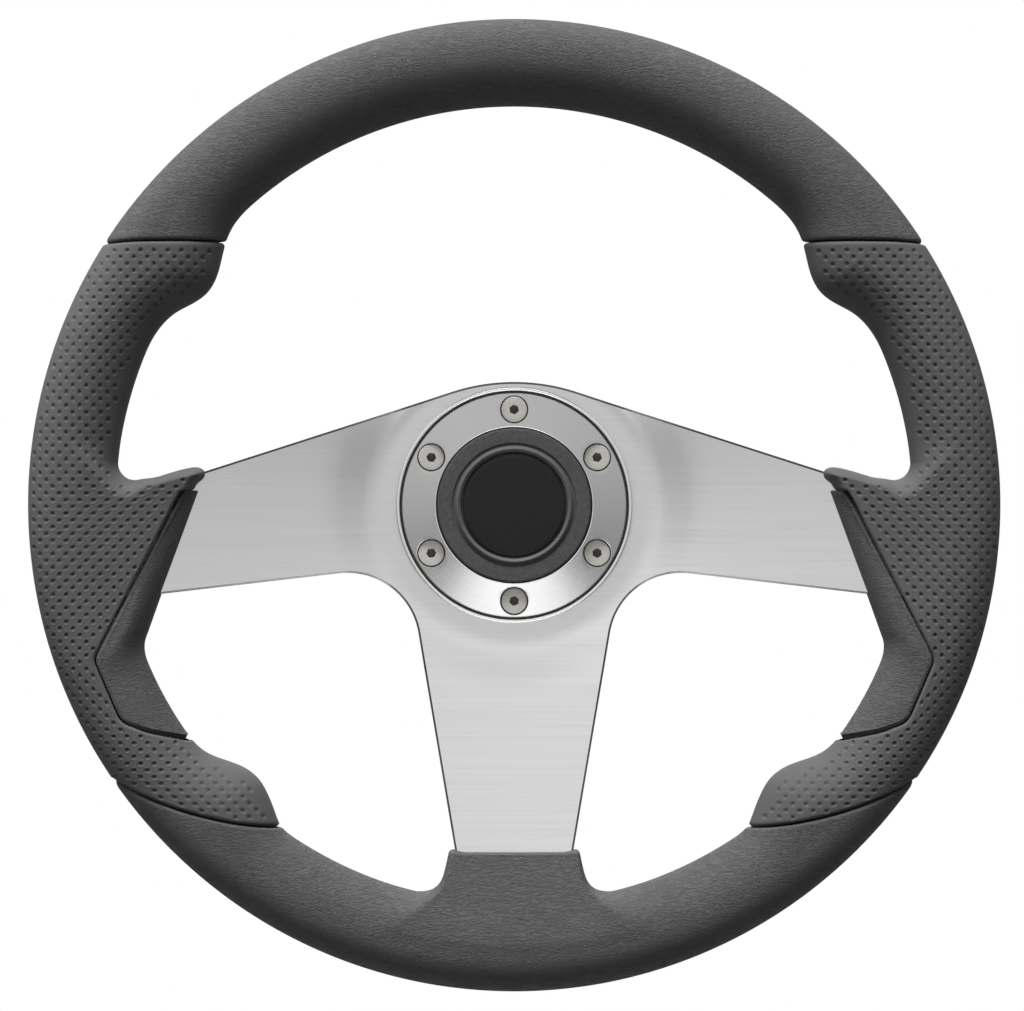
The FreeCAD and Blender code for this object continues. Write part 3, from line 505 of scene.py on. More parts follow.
class Tree:
    """The nodes of a material or the world, with short ways to add the usual ones."""

    def __init__(self, tree):
        self.nodes, self.links = tree.nodes, tree.links

    def feed(self, node, inputs):
        """Set a node's inputs to values, or link them to other nodes' outputs."""
        for name, value in inputs.items():
            if isinstance(value, bpy.types.NodeSocket):
                self.links.new(value, node.inputs[name])
            else:
                node.inputs[name].default_value = value

    def node(self, kind, inputs=None):
        node = self.nodes.new("ShaderNode" + kind)
        self.feed(node, inputs or {})
        return node

    def placed(self, scale):
        """Coordinates fixed to the object, in metres, scaled."""
        coord = self.node("TexCoord").outputs["Object"]
        return self.node("Mapping", {"Vector": coord, "Scale": scale}).outputs["Vector"]

    def noise(self, vector, detail=3.0, rough=0.5, distortion=0.0):
        return self.node("TexNoise", {"Vector": vector, "Scale": 1.0, "Detail": detail, "Roughness": rough,
                                      "Distortion": distortion}).outputs["Fac"]

    def ranged(self, value, low, high, to_low, to_high):
        return self.node("MapRange", {"Value": value, "From Min": low, "From Max": high,
                                      "To Min": to_low, "To Max": to_high}).outputs["Result"]

    def sums(self, operation, a, b=0):
        node = self.node("Math", {0: a, 1: b})
        node.operation = operation
        return node.outputs[0]

    def bump(self, height, strength, distance, normal=None):
        node = self.node("Bump", {"Height": height, "Strength": strength, "Distance": distance})
        if normal is not None:
            self.feed(node, {"Normal": normal})
        return node.outputs["Normal"]

    def tinted(self, value, dark, light):
        node = self.nodes.new("ShaderNodeMix")
        node.data_type = "RGBA"
        self.feed(node, {"A": (*dark, 1), "B": (*light, 1), "Factor": value})
        return node.outputs["Result"]

    def greys(self, value, dark, light):
        return self.tinted(value, (dark,) * 3, (light,) * 3)


def new_material(name):
    m = bpy.data.materials.new(name)
    m.use_nodes = True
    return m, Tree(m.node_tree), m.node_tree.nodes["Principled BSDF"]


def grip_material(name, wrinkle, pebbles):
    """Moulded soft skin: fine pebble grain, with wrinkles along the horizontal."""
    m, tree, shader = new_material(name)
    fine = tree.noise(tree.placed((1500, 1500, 1900)), 2.0, 0.6)
    pebble = tree.node("TexVoronoi", {"Vector": tree.placed((700, 700, 1250)), "Scale": 1.0})
    pebble.feature = "DISTANCE_TO_EDGE"
    cells = tree.ranged(pebble.outputs["Distance"], 0.0, 0.25, 0.0, 1.0)
    folds = tree.noise(tree.placed((240, 240, 1000)), 3.0, 0.6, 0.6)
    creases = tree.ranged(tree.sums("ABSOLUTE", tree.sums("SUBTRACT", folds, 0.5)), 0.0, 0.07, 0.0, 1.0)
    normal = tree.bump(fine, 0.4, 0.00012)
    normal = tree.bump(cells, pebbles, 0.00016, normal)
    normal = tree.bump(creases, wrinkle, 0.0005, normal)
    patch = tree.noise(tree.placed((60, 60, 60)), 2.0)
    tree.feed(shader, {"Base Color": tree.tinted(patch, (0.070, 0.070, 0.072), (0.084, 0.084, 0.086)),
                       "Roughness": tree.ranged(creases, 0, 1, 0.72, 0.62),
                       "Specular IOR Level": 0.08, "Normal": normal})
    return m


def brushed_material(name, base, dull, bright):
    """Metal brushed along the horizontal."""
    m, tree, shader = new_material(name)
    streak = tree.noise(tree.placed((22, 22, 3200)), 4.0, 0.65)
    long_streak = tree.noise(tree.placed((7, 7, 900)), 3.0, 0.6)
    both = tree.sums("ADD", tree.sums("MULTIPLY", streak, 0.6), tree.sums("MULTIPLY", long_streak, 0.4))
    shade = tree.ranged(both, 0.32, 0.68, 0, 1)
    tree.feed(shader, {"Metallic": 1.0, "Anisotropic": 0.55,
                       "Tangent": tree.node("CombineXYZ", {"X": 1.0}).outputs["Vector"],
                       "Base Color": tree.greys(shade, base * dull, base * bright),
                       "Roughness": tree.ranged(both, 0.3, 0.7, 0.36, 0.27),
                       "Normal": tree.bump(streak, 0.12, 0.00003)})
    return m


def turned_material(name, base, rough_low, rough_high, pitch):
    """Metal turned on a lathe: fine circles round the wheel's axis."""
    m, tree, shader = new_material(name)
    split = tree.node("SeparateXYZ", {0: tree.node("TexCoord").outputs["Object"]})
    x, z = split.outputs["X"], split.outputs["Z"]
    radius = tree.sums("SQRT", tree.sums("ADD", tree.sums("MULTIPLY", x, x), tree.sums("MULTIPLY", z, z)))
    rings = tree.node("CombineXYZ", {"X": tree.sums("MULTIPLY", radius, pitch)})
    lines = tree.noise(rings.outputs["Vector"], 3.0, 0.6)
    tangent = tree.node("Tangent")
    tangent.direction_type = "RADIAL"
    tangent.axis = "Y"
    tree.feed(shader, {"Metallic": 1.0, "Anisotropic": 0.5, "Tangent": tangent.outputs["Tangent"],
                       "Base Color": tree.greys(tree.ranged(lines, 0.3, 0.7, 0, 1), base * 0.94, base * 1.04),
                       "Roughness": tree.ranged(lines, 0.3, 0.7, rough_low, rough_high),
                       "Normal": tree.bump(lines, 0.1, 0.00002)})
    return m


def painted_light_metal(name, base, rough):
    """Plain metal in a given tone, with fine marks: darker copies are painted shade on the plate's edges, in
    the screw sockets and in the ring's groove, a brighter one is painted highlight on the ring's lips.
    """
    m, tree, shader = new_material(name)
    marks = tree.noise(tree.placed((2500, 2500, 900)), 2.0, 0.6)
    tree.feed(shader, {"Metallic": 1.0, "Base Color": tree.greys(marks, base * 0.85, base * 1.1),
                       "Roughness": tree.ranged(marks, 0.3, 0.7, rough * 0.85, rough * 1.15)})
    return m


def steel_material(name):
    """Blasted stainless screw heads: warm grey, finely grained."""
    m, tree, shader = new_material(name)
    grain = tree.noise(tree.placed((2600, 2600, 2600)), 3.0, 0.7)
    colour = tree.tinted(tree.ranged(grain, 0.3, 0.7, 0, 1), (0.42, 0.405, 0.375), (0.58, 0.56, 0.52))
    tree.feed(shader, {"Metallic": 0.5, "Roughness": 0.45, "Base Color": colour,
                       "Normal": tree.bump(grain, 0.3, 0.00005)})
    return m


def plastic_material(name, base, rough, grain, size, spec=0.5, mottle=0.1):
    """Grained plastic or rubber: grain is its depth, size its cells to the metre."""
    m, tree, shader = new_material(name)
    fine = tree.noise(tree.placed((size,) * 3), 3.0, 0.6)
    cells = tree.node("TexVoronoi", {"Vector": tree.placed((size * 0.6,) * 3), "Scale": 1.0})
    both = tree.sums("ADD", fine, tree.sums("MULTIPLY", cells.outputs["Distance"], 0.6))
    shade = tree.ranged(fine, 0.3, 0.7, 0, 1)
    tree.feed(shader, {"Base Color": tree.greys(shade, base * (1 - mottle), base * (1 + mottle)),
                       "Roughness": tree.ranged(fine, 0.3, 0.7, rough * 0.92, rough * 1.08),
                       "Specular IOR Level": spec, "Normal": tree.bump(both, grain, 0.0001)})
    return m


GRIP_SMOOTH = grip_material("grip_smooth_skin", 0.62, 0.5)
GRIP_DIMPLED = grip_material("grip_dimpled_skin", 0.12, 0.2)
BRUSHED = brushed_material("brushed_arms", 0.8, 0.95, 1.05)
# darker copy of the arm metal for the plate's edge chamfers: painted shade along the edges
EDGE_SHADE_METAL = painted_light_metal("arm_edges_painted_shade", 0.5, 0.25)
# near-black metal for the hexagon sockets and the ring's groove: painted shade in the recesses
RECESS_SHADE = painted_light_metal("recess_painted_shade", 0.1, 0.5)
TURNED = turned_material("turned_ring", 0.52, 0.22, 0.3, 4680)
# brighter copy of the ring metal for its bead and inner edge: painted highlight
LIP = painted_light_metal("ring_lips_painted_highlight", 0.9, 0.2)
CAST = turned_material("machined_hub", 0.55, 0.3, 0.42, 2080)
STEEL = steel_material("screw_steel")
CAP_SKIN = plastic_material("cap_skin", 0.042, 0.5, 1.6, 900, 0.5, 0.3)
COVER_SKIN = plastic_material("cover_skin", 0.03, 0.55, 0.6, 1100)
DISC_GLOSS = plastic_material("disc_gloss", 0.010, 0.16, 0.02, 900, 0.2)
# paler copy of the cap's skin for its bead: painted highlight on the crest
BEAD_HIGHLIGHT_SKIN = plastic_material("cap_bead_painted_highlight", 0.075, 0.35, 0.08, 1500, 0.3)
SEAL = plastic_material("seal_rubber", 0.02, 0.6, 0.2, 1200)


# Grips


def angle_of(point):
    return math.degrees(math.atan2(point[1], point[0]))


def part_of(path, a, b):
    """The part of a path between its points that are nearest to two places."""
    return path[nearest(path, a):nearest(path, b) + 1]


def grip_points():
    """Plans of the right-hand grips: inner path, outer path, keys, bows and the seams to round."""
    plans = {}
    top_up, top_low = [seam_across(*TOP_SEAM, shift) for shift in (RIM_EDGE, -RIM_EDGE)]
    low_up, low_low = [seam_across(*LOW_SEAM, shift) for shift in (RIM_EDGE, -RIM_EDGE)]
    insert_out = sampled(shifted(GRIP_SEAM_LINE, SEAM_EDGE), 0.1)
    insert_in = sampled(shifted(INSERT_SEAM_LINE, -SEAM_EDGE), 0.1)

    # top, from the middle to the seam
    inner = part_of(OUTLINE, (0, RIM_IN), top_up[0])
    outer = rim_arc(90, angle_of(top_up[-1]), RIM_OUT)
    keys = [(polar(RIM_IN, 60), polar(RIM_OUT, 55))]
    plans["top"] = (inner, outer, keys, [None, top_up], [top_up])

    # side, from seam to seam, round the horn and the insert
    upper = part_of(OUTLINE, top_low[0], (115.6, 5.8))
    lower = part_of(OUTLINE, (116.6, -84.4), low_up[0])
    inner = sampled(np.concatenate([upper, insert_out, lower]), 0.15)
    outer = rim_arc(angle_of(top_low[-1]), angle_of(low_up[-1]), RIM_OUT)
    keys = [(place, polar(RIM_OUT, angle), rise) for place, angle, rise in (
        ((106.9, 84.0), 30.5, 0), ((113, 74.8), 27.0, 0), ((128, 64), 22.5, 0),
        (polar(RIM_IN, 14), 12.5, 0), (polar(RIM_IN, 8), 6.0, 0), ((137.8, 9.1), 1.0, 0),
        ((126, 11.2), -2.6, 0), ((118.5, 13.4), -4.4, 1.5), ((112.6, 13.0), -5.6, 2.5),
        ((112.9, 9.2), -7.2, 5.5), ((117.5, 6.0), -9.4, 7.5), ((119.6, 5.2), -10.8, 6),
        ((125.0, -5.4), -12.8, 4), ((131.0, -17.3), -15.2, 2.4), ((138.0, -31.0), -17.8, 1.2),
        ((150.0, -55.3), -22.0, 0), ((140.8, -77.4), -27.8, 0), ((116.9, -84.2), -31.6, 0),
        ((104, -92.1), -32.4, 0), ((91.9, -99.3), -33.2, 0), ((88, -107), -33.8, 0))]
    plans["side"] = (inner, outer, keys, [top_low, low_up], [top_low, low_up, insert_out])

    # insert, from its top end to its foot
    inner = part_of(OUTLINE, (114.8, 5.3), (118.35, -82.1))
    start, stop = nearest(insert_in, (118.3, 5.35)), nearest(insert_in, (118.2, -83.95))
    outer = sampled(insert_in[start:stop], 0.15)
    keys = [((115.9, 0.6), (121.8, 0.4)), ((131.0, -42.0), (144.6, -45.0)), ((133.65, -50.9), (149.6, -56.6)),
            (polar(RIM_IN, -26), (146.0, -65.4)), (polar(RIM_IN, -31), (139.6, -78.0))]
    corner = nearest(insert_in, (119.2, 5.2))
    plans["insert"] = (inner, outer, keys, [None, None], [insert_in[corner:]])

    # bottom, from the seam to the middle
    inner = part_of(OUTLINE, low_low[0], (0, -125.4))
    outer = rim_arc(angle_of(low_low[-1]), -90, RIM_OUT)
    keys = [(place, polar(RIM_OUT, angle)) for place, angle in (
        (polar(RIM_IN, -58), -42), (polar(RIM_IN, -70), -68), (polar(RIM_IN, -75.5), -76.5),
        ((28.0, -137.8), -79.0), ((25.3, -132.6), -81.0), ((23.6, -125.2), -82.6))]
    plans["bottom"] = (inner, outer, keys, [low_low, None], [low_low])
    return plans


def insert_sunk(points):
    """How far the insert lies below the grip beside it: more towards its top end."""
    return 0.25 + 1.5 * ease(-50, 0, points[..., 1]) + 0.5 * ease(-70, -84, points[..., 1])


def dimple_places(seams):
    """Rows of dimples, level with the horizon, every other row shifted by half a step."""
    x, y = DIMPLE_START
    places = np.array([(x + j * DIMPLE_STEP + (DIMPLE_STEP / 2 if k % 2 else 0), y + k * DIMPLE_ROW)
                       for k in range(-56, 38) for j in range(-18, 6)])
    r = np.hypot(places[:, 0], places[:, 1])
    places = places[(r < RIM_OUT - 1.8) & (r > 108)]
    # they keep clear of the inner outline: on the upper rest, beside the arm and on the lower rest
    y = places[:, 1]
    margin = np.where(y > 18, 3.8, np.where(y > -60, 2.9, 3.4))
    places = places[distance_to(OUTLINE, places) > margin]
    return places[distance_to_any(seams, places) > 1.5]


# for each plan: distance between stations, points across, how crowded they are at the edges
GRIDS = {"top": (0.8, 62, 0.8), "side": (0.56, 120, 0.45), "insert": (0.55, 54, 0.5), "bottom": (0.8, 66, 0.75)}
BACK_POINTS = 26
FOLD_PLACES = ((144, 16), (130, 10.1), (124.5, -4.5), (134, -24))


def build_grips():
    """The four grips and the two inserts."""
    skins = {}
    for name, (inner, outer, keys, bows, seams) in grip_points().items():
        p = plan(inner, outer, keys, *GRIDS[name], bows)
        dimples = sunk = None
        if name == "top":
            p[0, :, 0] = 0
        elif name == "bottom":
            p[-1, :, 0] = 0
        elif name == "side":
            p = unfolded(p, FOLD_PLACES)
            dimples = dimple_places(seams)
        else:
            sunk = insert_sunk
        skins[name] = tube(p, BACK_POINTS, seams, dimples, sunk)

    top, bottom = skins["top"], skins["bottom"]
    for label, whole in (("top_grip", np.concatenate([mirrored(top)[::-1], top[1:]])),
                         ("bottom_grip", np.concatenate([bottom, mirrored(bottom)[::-1][1:]]))):
        verts, faces = capped(whole)
        add_piece(label + "_skin", verts, faces, GRIP_SMOOTH, label, "grip_smooth", 50)

    for name, label, material, slot in (("side", "grip", GRIP_DIMPLED, "grip_dimpled"),
                                        ("insert", "insert", GRIP_SMOOTH, "grip_smooth")):
        verts, faces = capped(skins[name])
        add_piece("right_%s_skin" % label, verts, faces, material, "right_" + label, slot, 50)
        flipped = [f[::-1] for f in faces]
        add_piece("left_%s_skin" % label, mirrored(verts), flipped, material, "left_" + label, slot, 50)


# Spoke plate


def plate_outline():
    """The plate's outline in plan, closed, counter-clockwise from the right arm's end."""
    peak, end = 49.1, 160.0
    x, y = 39.4, -22.1
    top_slope, low_slope, foot_slope = [math.tan(math.radians(a)) for a in (18.2, 6.45, 9.95)]
    low, high = y - (end - x) * low_slope, peak - end * top_slope
    foot = x - (end + y) * foot_slope
    return rounded([(end, low, 0), (end, high, 0), (0, peak, 73.4), (-end, high, 0), (-end, low, 0),
                    (-x, y, 26.5), (-foot, -end, 0), (foot, -end, 0), (x, y, 26.5)], True)


def inset(path, by):
    """A closed counter-clockwise path moved inwards."""
    edge = np.roll(path, -1, 0) - path
    edge /= np.linalg.norm(edge, axis=1)[:, None] + 1e-12
    normal = np.stack([-edge[:, 1], edge[:, 0]], -1)
    before = np.roll(normal, 1, 0)
    mean = normal + before
    mean /= np.linalg.norm(mean, axis=1)[:, None]
    return path + mean * (by / np.maximum((mean * normal).sum(1), 0.3))[:, None]


DISH = rounded([(0, 50.0, 0), (52.0, 50.0, 18.0), (68.0, 57.1, 60.0), (146.0, 77.0, 20.0), (170.0, 77.0, 0)])


def dish(r):
    """Height of the plate's front over the distance from the middle."""
    return np.interp(r, DISH[:, 0], DISH[:, 1])


def ray_reach(path, angles):
    """How far each ray from the middle runs to a closed path that every ray meets once."""
    path = np.concatenate([path, path[:1]])
    a = np.unwrap(np.arctan2(path[:, 1], path[:, 0]))
    out = np.full(len(angles), np.nan)
    for i in range(len(path) - 1):
        lo, hi = a[i], a[i + 1]
        if abs(hi - lo) < 1e-12:
            continue
        p, d = path[i], path[i + 1] - path[i]
        for turn in (-2 * math.pi, 0, 2 * math.pi):
            t = angles + turn
            hit = (t >= min(lo, hi) - 1e-9) & (t <= max(lo, hi) + 1e-9)
            if not hit.any():
                continue
            c, s = np.cos(angles[hit]), np.sin(angles[hit])
            bottom = d[0] * s - d[1] * c
            along_it = (p[1] * c - p[0] * s) / np.where(np.abs(bottom) < 1e-12, 1e-12, bottom)
            point = p + np.clip(along_it, 0, 1)[:, None] * d
            out[hit] = np.hypot(point[:, 0], point[:, 1])
    bad = np.isnan(out)
    out[bad] = np.interp(angles[bad], angles[~bad], out[~bad], period=2 * math.pi)
    return out


def build_plate():
    """The dished plate: rings of points from the bore outwards, round the edge and back behind."""
    outline = plate_outline()
    dense = sampled(np.concatenate([outline, outline[:1]]), 1.5)[:-1]
    angles = np.unwrap(np.arctan2(dense[:, 1], dense[:, 0])) % (2 * math.pi)
    corners = np.arctan2(outline[:, 1], outline[:, 0]) % (2 * math.pi)
    even = np.linspace(0, 2 * math.pi, 241)[:-1]
    angles = np.unique(np.round(np.concatenate([angles, corners, even]), 7))
    edge = ray_reach(outline, angles)
    half_way = ray_reach(inset(outline, 0.38), angles)
    top = ray_reach(inset(outline, 0.76), angles)
    # the rings are closer together where the dish bends
    count = 48
    radii = np.linspace(PLATE_BORE, 170, 600)
    step = np.full(len(radii), 7.0)
    for low, high, fine in ((0, 76, 2.5), (44, 56, 1.3), (63, 73, 1.3), (140, 152, 1.4), (152, 170, 4.0)):
        step[(radii >= low) & (radii <= high)] = fine
    places = np.concatenate([[0], np.cumsum(np.diff(radii) / step[1:])])
    reached = np.interp(top, radii, places)
    front = np.interp(reached[:, None] * np.linspace(0, 1, count)[None], places, radii).T

    def ring(radius, below):
        return np.column_stack([radius * np.cos(angles), radius * np.sin(angles), dish(radius) - below])

    grid = [ring(r, 0.0) for r in front]
    grid += [ring(half_way, 0.39), ring(edge, 0.78), ring(edge, PLATE_THICK - 0.3), ring(half_way, PLATE_THICK)]
    for k in range(count - 2, 0, -2):
        grid.append(ring(np.minimum(front[k], half_way - 0.3), PLATE_THICK))
    grid.append(ring(front[0], PLATE_THICK))
    n = len(angles)
    faces = np.concatenate([grid_faces(len(grid), n), closing_faces(len(grid), n)])
    obj = add_piece("spoke_plate_metal", np.concatenate(grid), faces, BRUSHED, "spoke_plate", "arm_metal", 24)
    # the edge chamfers and the narrow edge get the darker metal: painted shade along the plate's outline
    obj.data.materials.append(EDGE_SHADE_METAL)
    index = np.zeros(len(obj.data.polygons), np.int32)
    first = (count - 1) * n
    index[first:first + 4 * n] = 1
    obj.data.polygons.foreach_set("material_index", index)


# Turned pieces


def turned(profile, angles):
    """Points of a profile of (radius, height) turned round the wheel's axis, and the faces between."""
    p = np.array([np.column_stack([r * np.cos(angles), r * np.sin(angles), np.full(len(angles), z)])
                  for r, z in profile])
    return p.reshape(-1, 3), grid_faces(len(profile), len(angles))


def lathe(profile, segments=200):
    """A closed profile turned."""
    verts, faces = turned(profile, np.linspace(0, 2 * math.pi, segments, endpoint=False))
    return verts, np.concatenate([faces, closing_faces(len(profile), segments)])


def shared_out(obj, material, low, high):
    """Give the faces between two radii round the wheel's axis a material of their own."""
    if material.name not in obj.data.materials:
        obj.data.materials.append(material)
    number = obj.data.materials.find(material.name)
    for face in obj.data.polygons:
        if low <= 1000 * math.hypot(face.center.x, face.center.z) <= high:
            face.material_index = number


def build_ring():
    """Clamp ring with its six countersinks."""
    verts, faces = [], []

    def add(v, f):
        start = sum(len(x) for x in verts)
        verts.append(v)
        faces.extend(f + start)

    cone_in, cone_out = (28.9, RING_TOP - 0.03), (40.6, 54.0)
    slope = (cone_out[1] - cone_in[1]) / (cone_out[0] - cone_in[0])

    def cone(r):
        return cone_in[1] + slope * (r - cone_in[0])

    # the cone, as one sector round each screw
    per = 18
    half = math.pi / SCREW_COUNT
    turns = np.linspace(-half, half, 2 * per + 1)[:-1]
    radii = np.linspace(cone_in[0], cone_out[0], per + 1)[:-1]
    back_radii = np.linspace(cone_out[0], cone_in[0], per + 1)[:-1]
    boundary = [(cone_out[0], t) for t in turns] + [(r, half) for r in back_radii]
    boundary += [(cone_in[0], -t) for t in turns] + [(r, -half) for r in radii]
    for k in range(SCREW_COUNT):
        middle = math.radians(90 + 60 * k)
        rim = np.array([(r * math.cos(middle + t), r * math.sin(middle + t)) for r, t in boundary])
        hole = polar(SCREW_CIRCLE, 90 + 60 * k)
        ray = rim - hole
        ray /= np.linalg.norm(ray, axis=1)[:, None]
        rows = []
        for u in np.linspace(0, 1, 10) ** 1.15:
            p = rim * (1 - u) + (hole + ray * 5.35) * u
            rows.append(np.column_stack([p, cone(np.linalg.norm(p, axis=1))]))
        for radius, below in ((5.2, 0.04), (5.12, 0.14), (5.1, 0.3)):
            p = hole + ray * radius
            rows.append(np.column_stack([p, cone(np.linalg.norm(p, axis=1)) - below]))
        for radius, z in ((5.1, 53.8), (2.75, 51.45), (2.75, 50.0)):
            rows.append(np.column_stack([hole + ray * radius, np.full(len(ray), z)]))
        add(np.concatenate(rows), grid_faces(len(rows), len(rim))[:, ::-1])

    # the bands inside and outside it, joined to it point by point
    segments = 2 * per * SCREW_COUNT
    angles = math.radians(60) + np.arange(segments) * 2 * math.pi / segments
    inner = rounded([(24.3, 50.0, 0), (24.3, 53.2, 0.2), (28.4, 53.2, 0.2), (28.4, RING_TOP + 0.1, 0.5),
                     (cone_in[0] + 3, cone(cone_in[0] + 3), 0)])
    outer = rounded([(cone_out[0] - 3, cone(cone_out[0] - 3), 0), (41.0, cone(41.0), 0.35), (41.0, 51.8, 0.15),
                     (41.7, 51.8, 0.15), (41.7, 53.45, 0.8), (43.4, 53.45, 0.84), (43.4, 50.0, 0.25),
                     (24.3, 50.0, 0)])
    add(*turned(np.concatenate([inner[:-1], [cone_in]]), angles))
    add(*turned(np.concatenate([[cone_out], outer[1:]]), angles))
    obj = add_piece("clamp_ring_metal", np.concatenate(verts), faces, TURNED, "clamp_ring", "ring_metal", 30,
                    weld=True)
    # the groove gets the near-black metal: painted shade in the groove
    shared_out(obj, RECESS_SHADE, 41.05, 41.75)
    # the bead and the cone's inner edge get the brighter metal: painted highlight on the lips
    shared_out(obj, LIP, 41.75, 50.0)
    shared_out(obj, LIP, 28.3, 28.88)


def build_screws():
    """Six countersunk screws with hexagon sockets."""
    count = 96
    a = np.linspace(0, 2 * math.pi, count, endpoint=False)
    hexagon = 1.5 / np.cos((a + math.pi / 6) % (math.pi / 3) - math.pi / 6)
    circle = np.ones(count)
    # section of a screw from its end up, over the head and down into the socket: radius, and how far
    # below the top
    outside = [(0.02, 16.0), (2.2, 16.0), (2.5, 15.6), (2.5, 2.55), (4.72, 0.33), (4.75, 0.25), (4.72, 0.12),
               (4.6, 0.03), (4.45, 0.0), (3.4, 0.0), (2.5, 0.0)]
    rows = [(circle * radius, below) for radius, below in outside]
    rows += [(circle * 0.55 + hexagon * 0.8, 0.0), (hexagon * 1.06, 0.02), (hexagon, 0.12), (hexagon, 1.9),
             (hexagon * 0.9, 1.95), (circle * 0.8, 2.3), (circle * 0.02, 2.45)]
    in_socket = np.repeat(np.arange(len(rows) - 1) >= len(outside) + 1, count)
    verts, faces = [], []
    for k in range(SCREW_COUNT):
        x, y = polar(SCREW_CIRCLE, 90 + 60 * k)
        turn = math.radians(14 * k + 8)
        for radius, below in rows:
            verts.append(np.column_stack([x + radius * np.cos(a + turn), y + radius * np.sin(a + turn),
                                          np.full(count, SCREW_TOP - below)]))
        faces.append(grid_faces(len(rows), count, k * len(rows) * count))
    obj = add_piece("hub_screws_steel", np.concatenate(verts), np.concatenate(faces), STEEL, "hub_screws",
                    "screw_steel", 32)
    # the hexagon sockets get the near-black metal: painted shade inside them
    obj.data.materials.append(RECESS_SHADE)
    obj.data.polygons.foreach_set("material_index", np.tile(in_socket, SCREW_COUNT).astype(np.int32))


def build_cap():
    """The cap with its raised bead, and the gloss disc let into it."""
    bezel = rounded([(15.3, 43.2, 0), (17.3, 43.2, 0.4), (17.3, 46.5, 0), (16.1, 46.5, 0), (16.1, 48.7, 0),
                     (17.3, 48.7, 0), (17.3, 53.3, 0), (28.15, 53.3, 0), (28.15, 57.3, 0.9),
                     (22.75, 57.3, 0.25), (22.4, 56.5, 0.15), (21.9, 56.5, 0.15), (21.6, 57.2, 0.3),
                     (20.6, 58.25, 0.3), (19.5, 57.5, 0.3), (19.3, 55.4, 0.1), (0.05, 55.4, 0),
                     (0.05, 53.3, 0), (15.3, 53.3, 0)])
    obj = add_piece("cap_bezel_skin", *lathe(bezel), CAP_SKIN, "cap_bezel", "cap_plastic", 35)
    # the bead gets the paler skin: painted highlight along its crest
    shared_out(obj, BEAD_HIGHLIGHT_SKIN, 18.7, 22.6)
    disc = rounded([(0.05, 55.4, 0), (18.6, 55.4, 0), (18.6, 57.35, 0.5), (17.4, 57.5, 2.0), (0.05, 57.5, 0)])
    add_piece("cap_disc_gloss", *lathe(disc), DISC_GLOSS, "cap_disc", "disc_plastic", 35)


def build_back():
    """The moulded cover round the hub."""
    shroud = rounded([(22.2, 2.5, 0), (28.0, 2.5, 2.5), (30.0, 6.0, 2.0), (43.3, 34.0, 5.0), (43.3, 45.8, 0.4),
                      (41.3, 45.8, 0), (41.3, 34.8, 3.0), (28.0, 6.6, 0.5), (22.2, 4.6, 0)])
    add_piece("hub_shroud_skin", *lathe(shroud, 224), COVER_SKIN, "hub_shroud", "cover_plastic", 30)


def dress_nodes():
    """Nodes shown as they are: the hub and the hidden pieces."""
    for node, material in (("hub", CAST), ("cap_o_ring", SEAL), ("rim_core", CAST), ("core_rivets", CAST)):
        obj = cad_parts[node]
        obj.data.materials.clear()
        obj.data.materials.append(material)


build_grips()
build_plate()
build_ring()
build_screws()
build_cap()
build_back()
dress_nodes()


# Studio


def emitter(name, place, target, wide, high, power):
    """A rectangular lamp that points at a target."""
    data = bpy.data.lights.new(name, "AREA")
    data.shape = "RECTANGLE"
    data.size, data.size_y = wide, high
    data.energy = power
    obj = bpy.data.objects.new(name, data)
    obj.location = place
    obj.rotation_mode = "QUATERNION"
    obj.rotation_quaternion = (Vector(target) - Vector(place)).to_track_quat("-Z", "Y")
    bpy.context.scene.collection.objects.link(obj)
    return obj


for lamp in (emitter("top_softbox", (-0.4, -0.75, 1.85), (0, -0.06, 0.0), 1.8, 0.8, 120),
             emitter("back_softbox", (0.25, 1.5, 0.55), (0, -0.04, 0.0), 1.2, 0.8, 32),
             emitter("left_strip", (-0.46, -0.3, 0.1), (-0.16, -0.07, 0), 0.25, 0.5, 0.6),
             emitter("right_strip", (0.46, -0.28, 0.15), (0.16, -0.07, 0), 0.25, 0.5, 0.3)):
    lamp.visible_glossy = False
for card in (emitter("low_card", (0.0, -0.6, -0.31), (0, -0.055, -0.036), 0.4, 0.2, 0.5),
             emitter("high_card", (0.0, -0.43, 0.71), (0, -0.055, 0.0), 0.5, 0.12, 0.55)):
    card.visible_diffuse = False


def reflected_rays(tree, path):
    """1 where a ray comes off metal or gloss, or through something clear."""
    return tree.sums("MAXIMUM", path.outputs["Is Glossy Ray"], path.outputs["Is Transmission Ray"])


def build_floor():
    """Pale floor, well below the wheel, that glows a little for the lens and the metal alone."""
    material, tree, shader = new_material("floor_paper")
    path = tree.node("LightPath")
    shown = tree.sums("MAXIMUM", path.outputs["Is Camera Ray"], reflected_rays(tree, path))
    tree.feed(shader, {"Base Color": (0.55, 0.55, 0.55, 1), "Roughness": 0.9, "Specular IOR Level": 0.0,
                       "Emission Color": (1, 1, 1, 1), "Emission Strength": tree.sums("MULTIPLY", shown, 0.42)})
    bpy.ops.mesh.primitive_circle_add(vertices=96, radius=0.9, fill_type="NGON", location=(0, 0, -1.3))
    floor = bpy.context.object
    floor.name = "floor"
    floor.data.materials.append(material)


def level_over(tree, value, stops):
    """A level that runs through the stops (place from -1 to 1, level)."""
    ramp = tree.node("ValToRGB", {"Fac": tree.ranged(value, -1, 1, 0, 1)})
    elements = ramp.color_ramp.elements
    for i, (place, level) in enumerate(stops):
        e = elements[0] if i == 0 else elements[-1] if i == len(stops) - 1 else elements.new((place + 1) / 2)
        e.position = (place + 1) / 2
        e.color = (level, level, level, 1)
    return ramp.outputs["Color"]


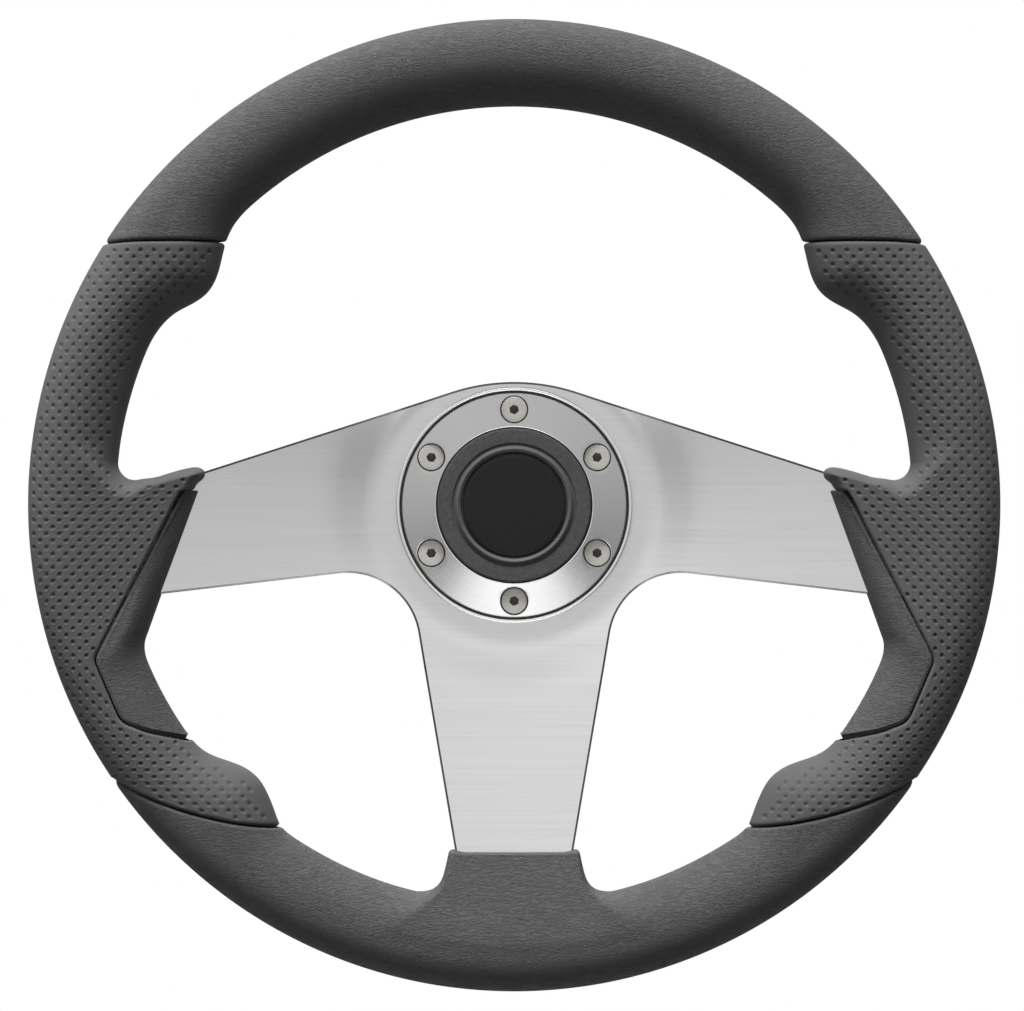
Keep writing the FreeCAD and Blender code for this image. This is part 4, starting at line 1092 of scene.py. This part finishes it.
def studio_world():
    """Pale surroundings, as the lens and the metal see them, with a dim fill for the rest."""
    world = bpy.data.worlds.new("studio")
    bpy.context.scene.world = world
    world.use_nodes = True
    world.node_tree.nodes.clear()
    tree = Tree(world.node_tree)
    split = tree.node("SeparateXYZ", {0: tree.node("TexCoord").outputs["Generated"]})
    x, y, z = [split.outputs[name] for name in "XYZ"]
    # brightness in front of the wheel, over height and from side to side
    up = level_over(tree, z, (
        (-1, 0.6), (-0.75, 0.45), (-0.5, 0.35), (-0.2, 0.45), (-0.06, 0.62), (0, 0.68), (0.08, 0.7),
        (0.25, 0.8), (0.42, 0.88), (0.7, 0.85), (0.85, 0.25), (1, 0.1)))
    over = level_over(tree, x, (
        (-1, 0.12), (-0.88, 0.3), (-0.74, 1.08), (-0.45, 1.1), (-0.1, 1.0), (0.1, 1.0), (0.45, 0.93),
        (0.74, 0.95), (0.88, 0.3), (1, 0.12)))
    front = tree.sums("MINIMUM", tree.sums("MULTIPLY", up, over), 1.0)
    level = tree.node("Mix", {"A": front, "B": 0.45, "Factor": tree.ranged(y, 0.0, 0.4, 0, 1)})
    mirror = tree.node("Background", {"Color": level.outputs["Result"]})
    seen = tree.node("Background", {"Color": (1, 1, 1, 1)})
    light = tree.node("Background", {"Color": tree.ranged(z, -0.5, 0.8, 0.03, 0.3)})
    path = tree.node("LightPath")
    for switch, other in ((reflected_rays(tree, path), mirror), (path.outputs["Is Camera Ray"], seen)):
        light = tree.node("MixShader", {"Fac": switch, 1: light.outputs[0], 2: other.outputs[0]})
    tree.node("OutputWorld", {"Surface": light.outputs[0]})


def build_camera(distance=1.5, sensor=36.0):
    """A camera straight in front, with the rim's middle plane as large in the picture as in the photo."""
    data = bpy.data.cameras.new("camera")
    data.sensor_width = sensor
    data.lens = sensor * distance / (PICTURE_WIDE * PIXEL / 1000)
    data.clip_start = 0.05
    data.clip_end = 30.0
    camera = bpy.data.objects.new("camera", data)
    camera.location = (-0.0008, -(RIM_MID / 1000 + distance), -0.0001)
    camera.rotation_euler = (math.radians(90), 0, 0)
    bpy.context.scene.collection.objects.link(camera)
    bpy.context.scene.camera = camera


build_floor()
studio_world()
build_camera()
bpy.context.scene.view_settings.view_transform = "Standard"
